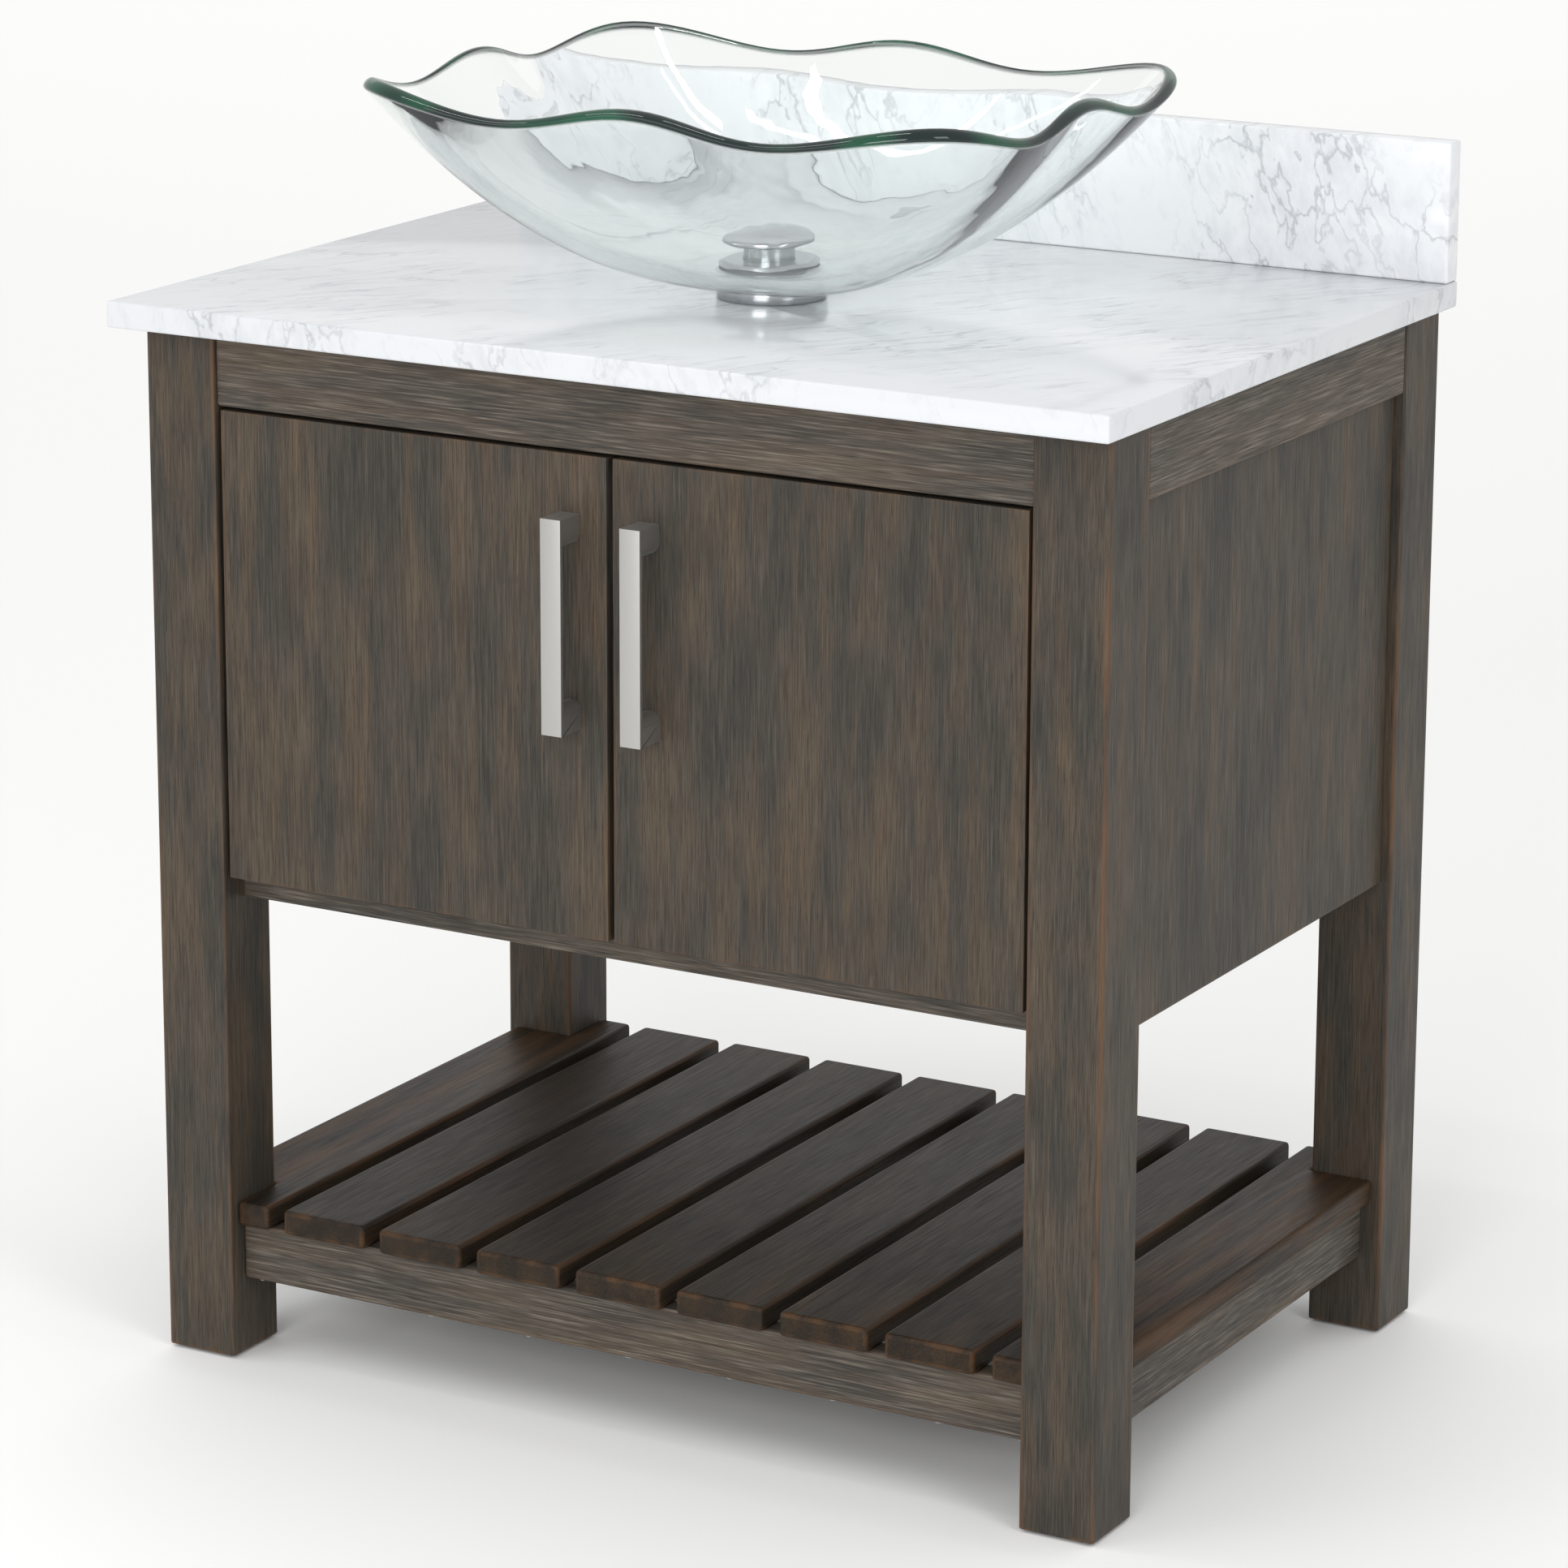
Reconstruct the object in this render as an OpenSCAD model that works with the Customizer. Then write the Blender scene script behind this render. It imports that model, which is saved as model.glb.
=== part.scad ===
// Vessel sink on a two-door vanity: a wavy glass bowl on a marble top, over a stained wood
// cabinet with an open slatted shelf. Millimetres, +X to the right, +Y to the wall, +Z up.
// The origin is on the ground, in the middle of the marble top's width and depth.

/* [Marble top] */
// Width of the slab
top_w = 787; // [700:1:960]
// Depth of the slab
top_d = 559; // [500:1:680]
// Thickness of the slab
top_t = 19; // [15:1:30]
// Height of the slab's upper surface above the ground
counter_h = 787; // [720:1:950]
// Chamfer along the marble's edges
marble_ease = 1.5; // [0.5:0.1:3]
// How far a backsplash end sits inside the slab's side
splash_inset = 0.5; // [0:0.5:40]
// Thickness of the backsplash
splash_t = 19; // [12:1:30]
// Height of the backsplash above the slab
splash_h = 102; // [60:1:150]
// Diameter of the faucet hole
faucet_d = 35; // [32:0.5:38]
// Distance from the faucet hole's centre to the backsplash
faucet_back = 50; // [35:1:60]

/* [Legs] */
// Side of a square leg
leg_s = 57; // [40:1:80]
// Overhang of the slab at each side of the legs
side_overhang = 12.5; // [2:0.5:30]
// Overhang of the slab in front of the legs
front_overhang = 30; // [5:1:60]
// Overhang of the slab behind the legs
back_overhang = 2; // [0:0.5:20]
// Chamfer along the wood's edges
wood_ease = 1.5; // [0.5:0.1:3]
// Thickness of a glide under a leg
glide_t = 2; // [1:0.5:8]
// Diameter of a glide
glide_d = 24; // [12:1:36]
// Shank diameter of a glide's nail
glide_nail_d = 3; // [2:0.5:5]
// Length of a glide's nail
glide_nail_l = 14; // [8:1:25]

/* [Rails and panels] */
// Height of the four rails under the slab
rail_h = 55; // [35:1:100]
// Thickness of a rail
rail_t = 19; // [15:1:28]
// How far the front rail sits behind the legs' front
front_rail_set = 3; // [0:0.5:8]
// How far a side rail sits inside a leg's outer face
side_rail_set = 1; // [0:0.5:8]
// How far a side panel sits inside a leg's outer face
side_panel_set = 8; // [3:0.5:15]
// Thickness of a side panel
side_panel_t = 18; // [12:1:22]
// Height of the cabinet's underside
cabinet_z = 348; // [260:1:420]
// Thickness of the cabinet's floor
floor_t = 18; // [12:1:25]
// Gap between the closed doors' backs and the floor's front edge
floor_gap = 4; // [2:0.5:12]
// Thickness of the back panel
back_t = 9; // [5:1:15]
// How far the back panel sits inside the legs' backs
back_set = 3; // [0:0.5:10]
// Width of the plumbing opening
plumb_w = 320; // [200:1:420]
// Distance from the plumbing opening's upper edge to the back rail
plumb_drop = 47; // [20:1:60]
// Height of the plumbing opening's lower edge above the cabinet's floor
plumb_rise = 110; // [60:1:120]
// Distance between the two wall screws
wall_screw_gap = 406; // [300:1:450]
// Diameter of a wall screw's hole
wall_screw_d = 5.5; // [4:0.5:8]
// Depth of the stop strip behind the front rail
stop_d = 18; // [10:1:30]
// How far the stop strip reaches below the front rail
stop_drop = 15; // [8:1:30]

/* [Shelf] */
// Height of the shelf's upper surface
shelf_z = 120; // [90:1:250]
// Thickness of a slat
slat_t = 18; // [12:1:25]
// Gap between two slats
slat_gap = 13.5; // [6:0.5:20]
// How far an outer slat shows between the legs
outer_slat_show = 26.75; // [15:0.25:40]
// How far the slats' ends and the outer slats' sides sit inside the legs' faces
slat_set = 8; // [3:0.5:20]
// Corner radius of a slat in plan
slat_r = 4; // [1:0.5:8]
// Height of a shelf rail
shelf_rail_h = 43; // [30:1:60]
// How far the shelf rails sit inside the legs' faces
shelf_rail_set = 16; // [6:0.5:30]
// Gap between a notched slat and a leg
notch_gap = 0.6; // [0.4:0.1:2]
// Shank diameter of a shelf screw
shelf_screw_d = 3.5; // [3:0.1:4.5]
// How far a shelf screw reaches into a slat
shelf_screw_bite = 12; // [8:1:14]

/* [Doors] */
// Thickness of a door
door_t = 19; // [16:1:25]
// Gap between a door and a leg
door_side_gap = 3.5; // [2:0.1:6]
// Gap between a door and the front rail
door_top_gap = 2.5; // [1.5:0.1:5]
// Gap between the two doors
door_mid_gap = 5; // [2:0.1:8]
// How far the doors end above the cabinet's underside
door_lift = 20; // [12:1:30]

/* [Handles] */
// Length of a handle
handle_l = 152; // [100:1:220]
// Width of a handle's bar
handle_w = 16; // [10:0.5:20]
// Thickness of a handle's bar
handle_bar_t = 3; // [2:0.5:6]
// How far a handle stands out from its door
handle_out = 26; // [18:1:40]
// Height of a handle's post
handle_post_h = 21; // [16:0.5:30]
// Distance from a handle's end to its screw
handle_screw_in = 12; // [6:0.5:15]
// Distance from a door's free edge to a handle's middle
handle_in = 29; // [20:1:60]
// Distance from a door's top to a handle's top
handle_drop = 41; // [20:1:120]
// Diameter of a handle screw
handle_screw_d = 4; // [3:0.5:5]
// How far a handle screw reaches into a post
handle_screw_bite = 12; // [6:1:18]

/* [Hinges] */
// Diameter of a hinge cup
cup_d = 35; // [35:1:40]
// Depth of a hinge cup in the door
cup_depth = 11.5; // [10:0.5:13]
// Distance from a door's edge to a hinge cup's middle
cup_in = 22.5; // [21:0.5:26]
// Distance from a door's end to a hinge's middle
hinge_end = 60; // [45:1:100]
// Thickness of a hinge's mounting plate
plate_t = 3; // [2:0.5:4]
// Shank diameter of the hinge screws
hinge_screw_d = 3.5; // [3:0.1:4]
// Length of the hinge screws' shanks
hinge_screw_l = 13; // [10:1:16]
// Diameter of a door bumper
bumper_d = 10; // [6:1:14]
// Thickness of a door bumper
bumper_t = 3; // [1.5:0.5:3.5]

/* [Bowl] */
// Length of the bowl's rim
bowl_w = 502; // [420:1:560]
// Width of the bowl's rim
bowl_d = 402; // [340:1:420]
// Height of the rim's mean line above the bowl's underside
bowl_h = 142; // [110:1:170]
// Squareness of the rim: 2 is an ellipse
bowl_square = 5.5; // [2:0.5:8]
// Height of the rim's waves
wave_h = 6.5; // [0:0.5:12]
// Number of waves around the rim
wave_n = 8; // [4:1:12]
// Thickness of the glass
glass_t = 12; // [8:0.5:15]
// Radius of the bowl's flat foot
foot_r = 36; // [36:1:60]
// How fast the wall steepens: 1 is a straight cone
bowl_curve = 2.1; // [1.5:0.05:2.5]
// Distance from the slab's front edge to the drain's centre
bowl_y = 254; // [225:1:265]

/* [Drain] */
// Diameter of the drain holes in the glass and the slab
drain_hole_d = 45; // [44.5:0.5:50]
// Outer diameter of the mounting ring
ring_d = 78; // [64:1:84]
// Height of the mounting ring
ring_h = 8; // [5:0.5:14]
// Thickness of each rubber gasket
gasket_t = 1.5; // [1:0.5:3]
// Diameter of the drain flange
flange_d = 72; // [60:1:80]
// Thickness of the drain flange
flange_t = 3; // [2:0.5:5]
// Outer diameter of the threaded body
body_d = 42; // [40:0.5:43]
// Bore of the threaded body
throat_d = 38; // [37:0.5:38.5]
// Length of the threaded body below the flange
body_l = 100; // [90:1:130]
// Diameter of the drain cap
cap_d = 65; // [56:1:68]
// Thickness of the cap's rim
cap_t = 2.5; // [1.5:0.5:4]
// Height of the cap's dome
cap_dome = 3; // [1:0.5:5]
// Gap under the raised cap
cap_lift = 14; // [14:1:18]
// How far the cap is pressed to close
cap_travel = 13.5; // [8:0.5:13.5]
// Diameter of the cap's neck
neck_d = 36.5; // [30:0.5:36.5]
// Diameter of the cap's stem
stem_d = 8; // [6:0.5:10]
// Outer diameter of the tailpiece
tail_d = 32; // [31:0.5:33]
// Wall of the tailpiece
tail_wall = 1; // [0.8:0.1:2]
// Length of the tailpiece below the threaded body
tail_l = 110; // [60:1:200]
// How far the tailpiece's screwed end stands out from its tube
tail_thread = 0.6; // [0.3:0.1:1]
// How far the screwed end shows below the threaded body
tail_shoulder = 4; // [2:0.5:10]

/* [Hidden] */
$fn = 64;

// Fits
touch_gap = 0.05;      // radial gap between a screw, nut or tube and its hole
screw_head_t = 2.4;    // height of a screw's head
slat_count = 9;
both_sides = [-1, 1];

// The slab and what stands on it
front_y = -top_d / 2;
splash_w = top_w - 2 * splash_inset;
slab_z = counter_h - top_t;
splash_y = top_d / 2 - splash_t;
drain_y = front_y + bowl_y;
faucet_y = splash_y - faucet_back;

// The legs
base_w = top_w - 2 * side_overhang;            // over the legs' outer faces
base_d = top_d - front_overhang - back_overhang;
leg_x = base_w / 2 - leg_s;                    // inner face of a right-hand leg
leg_front_y = front_y + front_overhang;
leg_back_y = leg_front_y + base_d;
between_legs = base_d - 2 * leg_s;
rail_z = slab_z - rail_h;

// The cabinet
side_in_x = base_w / 2 - side_panel_set - side_panel_t;
door_front_y = leg_front_y + front_rail_set;
door_back_y = door_front_y + door_t;
back_y = leg_back_y - back_set - back_t;
floor_y = door_back_y + floor_gap;
floor_z = cabinet_z + floor_t;
plumb_z = floor_z + plumb_rise;
plumb_h = rail_z - plumb_drop - plumb_z;

// The shelf: the inner slats and the gaps fill the room between the two outer slats
inner_slats_w = 2 * (leg_x - outer_slat_show);
slat_w = (inner_slats_w - (slat_count - 1) * slat_gap) / (slat_count - 2);
slat_pitch = slat_w + slat_gap;
slat_z = shelf_z - slat_t;
shelf_rail_z = slat_z - shelf_rail_h;
slat_len = base_d - 2 * slat_set;
slat_outer_x = base_w / 2 - slat_set;
shelf_screw_y = shelf_rail_set + rail_t / 2;

// The doors
door_x = leg_x - door_side_gap;                // outer edge of a closed door
door_w = door_x - door_mid_gap / 2;
door_z = cabinet_z + door_lift;
door_h = rail_z - door_top_gap - door_z;
hinge_zs = [door_z + hinge_end, door_z + door_h - hinge_end];
handle_x = door_mid_gap / 2 + handle_in;       // middle of the right-hand handle
handle_z = door_z + door_h - handle_drop - handle_l / 2;
handle_screw_reach = handle_l / 2 - handle_screw_in;
handle_screw_zs = [handle_z - handle_screw_reach, handle_z + handle_screw_reach];

// The hinges, measured from a door's outer edge and its back face
cup_wall = 1;
flange_plate_t = 1.2;
flange_plate_w = 14;
flange_plate_h = 58;
cup_screw_in = cup_in + 9.5;
cup_screw_z = 22.5;
arm_gap = 3.5;                                 // from the door's back to the arm
arm_t = 5;
arm_w = 14;
plate_h = 34;
plate_d = leg_s - front_rail_set - door_t - arm_gap - 1;
plate_screw_z = 12.5;
hinge_head_d = 6;

// The drain, from the slab's upper surface upwards
gasket_z = counter_h + ring_h;
glass_z = gasket_z + gasket_t;
basin_z = glass_z + glass_t;
flange_z = basin_z + gasket_t;
throat_z = flange_z + flange_t;
body_z = flange_z - body_l;
cap_z = throat_z + cap_lift;
neck_reach = 6;                // how far the neck goes into the throat, past its travel
neck_l = cap_lift + cap_travel + neck_reach;
neck_z = cap_z - neck_l;
bridge_t = 8;
bridge_w = stem_d + 6;
bridge_drop = 14;              // clear room between the pressed neck and the bridge
bridge_z = neck_z - cap_travel - bridge_drop - bridge_t;
stem_tip = 4;                  // how far the stem shows below the bridge
stem_z = bridge_z - stem_tip;
socket_l = 18;
washer_t = 2;
nut_h = 14;
tail_in = 16;
tail_z = body_z - tail_l;
tail_end_d = tail_d + 2 * tail_thread;
spring_turns = 5;
spring_wire = 1.4;
spring_r = stem_d / 2 + spring_wire / 2 + 0.8;

// A rectangle with its corners cut off, and a box with all twelve edges chamfered, each
// with its lowest corner at the origin
module eased_rect(a, b, ease) {
    polygon([[ease, 0], [a - ease, 0], [a, ease], [a, b - ease],
             [a - ease, b], [ease, b], [0, b - ease], [0, ease]]);
}

module eased_box(size, ease) {
    intersection() {
        linear_extrude(size[2]) eased_rect(size[0], size[1], ease);
        rotate([90, 0, 90]) linear_extrude(size[0]) eased_rect(size[1], size[2], ease);
        translate([0, size[1], 0]) rotate([90, 0, 0])
            linear_extrude(size[1]) eased_rect(size[0], size[2], ease);
    }
}

// A flat ring, from z upwards
module ring(outer_d, inner_d, z, h) {
    translate([0, 0, z]) difference() {
        cylinder(d = outer_d, h = h);
        translate([0, 0, -1]) cylinder(d = inner_d, h = h + 2);
    }
}

// Repeats a left-hand piece on the side that it is asked for
module on_side(side) {
    if (side < 0) children();
    else mirror([1, 0, 0]) children();
}

// Marble
module countertop() color("whitesmoke") difference() {
    translate([-top_w / 2, front_y, slab_z]) eased_box([top_w, top_d, top_t], marble_ease);
    translate([0, drain_y, slab_z - 1]) cylinder(d = drain_hole_d, h = top_t + 2);
    translate([0, faucet_y, slab_z - 1]) cylinder(d = faucet_d, h = top_t + 2);
}

module backsplash() color("whitesmoke")
    translate([-splash_w / 2, splash_y, counter_h])
        eased_box([splash_w, splash_t, splash_h], marble_ease);

// Legs, each with the hole for its glide's nail and a left-hand or right-hand hinge's screws
module leg(side, back) color("dimgray") difference() {
    translate([side < 0 ? -base_w / 2 : leg_x, back ? leg_back_y - leg_s : leg_front_y, glide_t])
        eased_box([leg_s, leg_s, slab_z - glide_t], wood_ease);
    glide_nail(side, back, touch_gap);
    if (!back) on_side(side) plate_screw_shanks(touch_gap);
}

function leg_middle(side, back) =
    [side * (base_w - leg_s) / 2, back ? leg_back_y - leg_s / 2 : leg_front_y + leg_s / 2];

module glide_nail(side, back, gap) translate([each leg_middle(side, back), glide_t - 1])
    cylinder(d = glide_nail_d + 2 * gap, h = glide_nail_l + 1 + gap);

module leg_glides() color("black") for (side = both_sides, back = [false, true]) {
    translate([each leg_middle(side, back), 0]) cylinder(d = glide_d, h = glide_t);
    glide_nail(side, back, 0);
}

// Rails under the slab
module front_top_rail() color("dimgray")
    translate([-leg_x, leg_front_y + front_rail_set, rail_z])
        eased_box([2 * leg_x, rail_t, rail_h], wood_ease);

module back_top_rail() color("dimgray") difference() {
    translate([-leg_x, leg_back_y - rail_t, rail_z])
        eased_box([2 * leg_x, rail_t, rail_h], wood_ease);
    for (side = both_sides)
        translate([side * wall_screw_gap / 2, leg_back_y + 1, rail_z + rail_h / 2])
            rotate([90, 0, 0]) cylinder(d = wall_screw_d, h = rail_t + 2);
}

module side_top_rail(side) color("dimgray") on_side(side)
    translate([-base_w / 2 + side_rail_set, leg_front_y + leg_s, rail_z])
        eased_box([rail_t, between_legs, rail_h], wood_ease);

module side_panel(side) color("dimgray") on_side(side)
    translate([-base_w / 2 + side_panel_set, leg_front_y + leg_s, cabinet_z])
        eased_box([side_panel_t, between_legs, rail_z - cabinet_z], wood_ease);

// The floor is notched round all four legs
module cabinet_floor() color("saddlebrown") difference() {
    translate([-side_in_x, floor_y, cabinet_z]) cube([2 * side_in_x, back_y - floor_y, floor_t]);
    for (side = both_sides, back = [false, true])
        translate([side < 0 ? -side_in_x - 1 : leg_x,
                   back ? leg_back_y - leg_s : leg_front_y, cabinet_z - 1])
            cube([side_in_x - leg_x + 1, leg_s, floor_t + 2]);
}

module back_panel() color("saddlebrown") difference() {
    translate([-leg_x, back_y, cabinet_z]) cube([2 * leg_x, back_t, rail_z - cabinet_z]);
    translate([-plumb_w / 2, back_y - 1, plumb_z])
        cube([plumb_w, back_t + 2, plumb_h]);
}

module door_stop() color("saddlebrown")
    translate([-leg_x, door_back_y + bumper_t + 0.5, rail_z - stop_drop])
        cube([2 * leg_x, stop_d, rail_h + stop_drop]);

// Shelf
module shelf_rail(back) color("dimgray") difference() {
    translate([-leg_x, back ? leg_back_y - shelf_rail_set - rail_t : leg_front_y + shelf_rail_set,
               shelf_rail_z])
        eased_box([2 * leg_x, rail_t, shelf_rail_h], wood_ease);
    shelf_screw_shanks(touch_gap);
}

module side_shelf_rail(side) color("dimgray") on_side(side)
    translate([-base_w / 2 + shelf_rail_set, leg_front_y + leg_s, shelf_rail_z])
        eased_box([rail_t, between_legs, shelf_rail_h], wood_ease);

function slat_x(i) = (i - (slat_count + 1) / 2) * slat_pitch;

// A slat's outline has round corners; the outer two are wider and notched round the legs
module slat_outline(x0, x1) translate([x0, leg_front_y + slat_set]) union() {
    translate([slat_r, 0]) square([x1 - x0 - 2 * slat_r, slat_len]);
    translate([0, slat_r]) square([x1 - x0, slat_len - 2 * slat_r]);
    for (x = [slat_r, x1 - x0 - slat_r], y = [slat_r, slat_len - slat_r])
        translate([x, y]) circle(r = slat_r, $fn = 32);
}

module shelf_slat(i) color("dimgray") difference() {
    translate([0, 0, slat_z]) linear_extrude(slat_t) {
        if (i == 1) slat_outline(-slat_outer_x, slat_x(1) + slat_w / 2);
        else if (i == slat_count) slat_outline(slat_x(i) - slat_w / 2, slat_outer_x);
        else slat_outline(slat_x(i) - slat_w / 2, slat_x(i) + slat_w / 2);
    }
    for (side = both_sides, back = [false, true])
        translate([side < 0 ? -base_w / 2 - 1 : leg_x - notch_gap,
                   back ? leg_back_y - leg_s - notch_gap : leg_front_y - notch_gap, slat_z - 1])
            cube([leg_s + notch_gap + 1, leg_s + 2 * notch_gap, slat_t + 2]);
    shelf_screw_shanks(touch_gap);
}

// Two screws a slat, from under the front and back shelf rails; the outer ones clear the legs
function shelf_screw_x(i) =
    max(-leg_x + 10, min(leg_x - 10, slat_x(i)));

module shelf_screw_places() for (i = [1 : slat_count], end = [0, 1])
    translate([shelf_screw_x(i),
               end == 0 ? leg_front_y + shelf_screw_y : leg_back_y - shelf_screw_y, 0]) children();

module shelf_screw_shanks(gap) shelf_screw_places()
    translate([0, 0, shelf_rail_z - 1])
        cylinder(d = shelf_screw_d + 2 * gap, h = shelf_rail_h + 1 + shelf_screw_bite + gap);

module shelf_screws() color("silver") {
    shelf_screw_places() translate([0, 0, shelf_rail_z - screw_head_t])
        cylinder(d = 2 * shelf_screw_d, h = screw_head_t);
    shelf_screw_shanks(0);
}

// Doors, drawn on the left and mirrored
module door(side) color("dimgray") on_side(side) difference() {
    translate([-door_x, door_front_y, door_z]) eased_box([door_w, door_t, door_h], wood_ease);
    for (z = hinge_zs) {
        translate([-door_x + cup_in, door_back_y + 1, z]) rotate([90, 0, 0])
            cylinder(d = cup_d + 2 * touch_gap, h = cup_depth + 1 + touch_gap);
    }
    cup_screw_shanks(touch_gap);
    handle_screw_shanks(door_front_y - 1, door_t + 2, 0.5);
}

// Handles: a flat bar on two posts whose inner sides are round
module post_outline() {
    translate([-handle_w / 2, 0]) square([handle_w, handle_post_h - handle_w / 2]);
    translate([0, handle_post_h - handle_w / 2]) circle(d = handle_w);
}

module handle(side) color("silver") on_side(side) difference() {
    translate([-handle_x, door_front_y, handle_z]) {
        translate([-handle_w / 2, -handle_out, -handle_l / 2])
            cube([handle_w, handle_bar_t, handle_l]);
        for (up = [0, 1]) mirror([0, 0, up]) translate([0, 0, -handle_l / 2])
            rotate([90, 0, 0]) linear_extrude(handle_out - handle_bar_t / 2) post_outline();
    }
    handle_screw_shanks(door_front_y - handle_screw_bite - touch_gap,
                        handle_screw_bite + 1, touch_gap);
}

module handle_screw_shanks(y, len, gap) for (z = handle_screw_zs)
    translate([-handle_x, y, z]) rotate([-90, 0, 0])
        cylinder(d = handle_screw_d + 2 * gap, h = len);

module handle_screws(side) color("silver") on_side(side) {
    handle_screw_shanks(door_front_y - handle_screw_bite, door_t + handle_screw_bite, 0);
    for (z = handle_screw_zs) translate([-handle_x, door_back_y, z]) rotate([-90, 0, 0])
        cylinder(d = 2 * handle_screw_d, h = screw_head_t);
}

module door_bumper(side) color("white") on_side(side)
    translate([-door_mid_gap / 2 - bumper_d, door_back_y,
               door_z + door_h - bumper_d / 2 - wood_ease]) rotate([-90, 0, 0])
        cylinder(d = bumper_d, h = bumper_t);

// Concealed hinges, two a door
module hinge_cups(side) color("silver") on_side(side) difference() {
    for (z = hinge_zs) translate([-door_x + cup_in, door_back_y, z]) {
        rotate([90, 0, 0]) cylinder(d = cup_d, h = cup_depth);
        translate([0, 0, -flange_plate_h / 2])
            cube([flange_plate_w, flange_plate_t, flange_plate_h]);
    }
    for (z = hinge_zs) translate([-door_x + cup_in, door_back_y + flange_plate_t + 1, z])
        rotate([90, 0, 0])
            cylinder(d = cup_d - 2 * cup_wall, h = cup_depth - cup_wall + flange_plate_t + 1);
    cup_screw_shanks(touch_gap);
}

module cup_screw_places() for (z = hinge_zs, dz = [-cup_screw_z, cup_screw_z])
    translate([-door_x + cup_screw_in, door_back_y, z + dz]) rotate([90, 0, 0]) children();

module cup_screw_shanks(gap) cup_screw_places()
    translate([0, 0, -flange_plate_t - 1]) cylinder(d = hinge_screw_d + 2 * gap,
        h = hinge_screw_l + flange_plate_t + 1 + gap);

module cup_screws(side) color("silver") on_side(side) cup_screw_places() {
    translate([0, 0, -flange_plate_t]) cylinder(d = hinge_screw_d,
        h = hinge_screw_l + flange_plate_t);
    translate([0, 0, -flange_plate_t - screw_head_t / 2])
        cylinder(d = hinge_head_d, h = screw_head_t / 2);
}

// The arm and its mounting plate, on a front leg's inner face
module hinge_arms(side) color("silver") on_side(side) difference() {
    for (z = hinge_zs) translate([-leg_x, door_back_y + arm_gap, z]) {
        translate([0, 0, -plate_h / 2]) cube([plate_t, plate_d, plate_h]);
        translate([0, 0, -arm_w / 2])
            cube([plate_t + 2 * arm_t, plate_d, arm_w]);
        translate([0, 0, -arm_w / 2])
            cube([door_side_gap + cup_in + 2, arm_t, arm_w]);
    }
    plate_screw_shanks(touch_gap);
}

module plate_screw_places() for (z = hinge_zs, dz = [-plate_screw_z, plate_screw_z])
    translate([-leg_x, door_back_y + arm_gap + plate_d / 2, z + dz]) rotate([0, -90, 0]) children();

module plate_screw_shanks(gap) plate_screw_places()
    translate([0, 0, -plate_t - 1]) cylinder(d = hinge_screw_d + 2 * gap,
        h = hinge_screw_l + plate_t + 1 + gap);

module plate_screws(side) color("silver") on_side(side) plate_screw_places() {
    translate([0, 0, -plate_t]) cylinder(d = hinge_screw_d, h = hinge_screw_l + plate_t);
    translate([0, 0, -plate_t - screw_head_t]) cylinder(d = hinge_head_d, h = screw_head_t);
}

// Bowl: rings of points climb from the round foot to the square-cornered, wavy rim
around = 72;
climb = 10;

// How far a superellipse's point lies from the ellipse's, at angle t
function corner_push(t) =
    pow(pow(abs(cos(t)), bowl_square) + pow(abs(sin(t)), bowl_square), -1 / bowl_square);

// A point of the outer wall; w runs from 0 at the foot to 1 at the rim. The corners reach
// well down the wall, and the waves die away below the rim
function wall_point(t, w) =
    let (push = 1 + (corner_push(t) - 1) * sqrt(w),
         x = foot_r * (1 - w) + bowl_w / 2 * w,
         y = foot_r * (1 - w) + bowl_d / 2 * w)
    [x * push * cos(t), y * push * sin(t),
     (bowl_h - glass_t / 2) * pow(w, bowl_curve) + wave_h * cos(wave_n * t) * pow(w, 4)];

// The unit normal that points into the bowl, from two short steps along the wall
function wall_normal(t, w) =
    let (up = wall_point(t, w + 0.01) - wall_point(t, w),
         along = wall_point(t + 1, w) - wall_point(t - 1, w),
         n = cross(along, up))
    -n / norm(n);

// Round the rim: the edge of the glass is half a circle in section
function edge_point(t, a) =
    let (p = wall_point(t, 1), n = wall_normal(t, 1),
         up = wall_point(t, 1) - wall_point(t, 0.99), u = up / norm(up))
    p + n * glass_t / 2 * (1 - cos(a)) + u * glass_t / 2 * sin(a) * 0.6;

function bowl_ring(k) =
    k <= climb ? [for (i = [0 : around - 1]) wall_point(i * 360 / around, k / climb)]
    : k <= climb + 3 ? [for (i = [0 : around - 1]) edge_point(i * 360 / around, (k - climb) * 45)]
    : let (w = (2 * climb + 4 - k) / climb)
      [for (i = [0 : around - 1])
          let (t = i * 360 / around) wall_point(t, w) + wall_normal(t, w) * glass_t];

module bowl_solid() {
    rings = 2 * climb + 5;
    points = [for (k = [0 : rings - 1]) each bowl_ring(k)];
    foot = len(points);
    faces = concat(
        [for (k = [0 : rings - 2], i = [0 : around - 1])
            let (a = k * around + i, b = k * around + (i + 1) % around)
            each [[a, a + around, b], [b, a + around, b + around]]],
        [for (i = [0 : around - 1]) [foot, i, (i + 1) % around]],
        [for (i = [0 : around - 1])
            let (last = (rings - 1) * around) [foot + 1, last + (i + 1) % around, last + i]]);
    polyhedron(concat(points, [[0, 0, 0], [0, 0, glass_t]]), faces);
}

module glass_bowl() color("lightseagreen", 0.4) translate([0, drain_y, glass_z]) difference() {
    bowl_solid();
    translate([0, 0, -1]) cylinder(d = drain_hole_d, h = glass_t + 2);
}

// Drain
module mounting_ring() color("silver") translate([0, drain_y, 0])
    ring(ring_d, drain_hole_d + 6, counter_h, ring_h);

module ring_gasket() color("black") translate([0, drain_y, 0])
    ring(ring_d - 6, drain_hole_d + 1, gasket_z, gasket_t);

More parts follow.
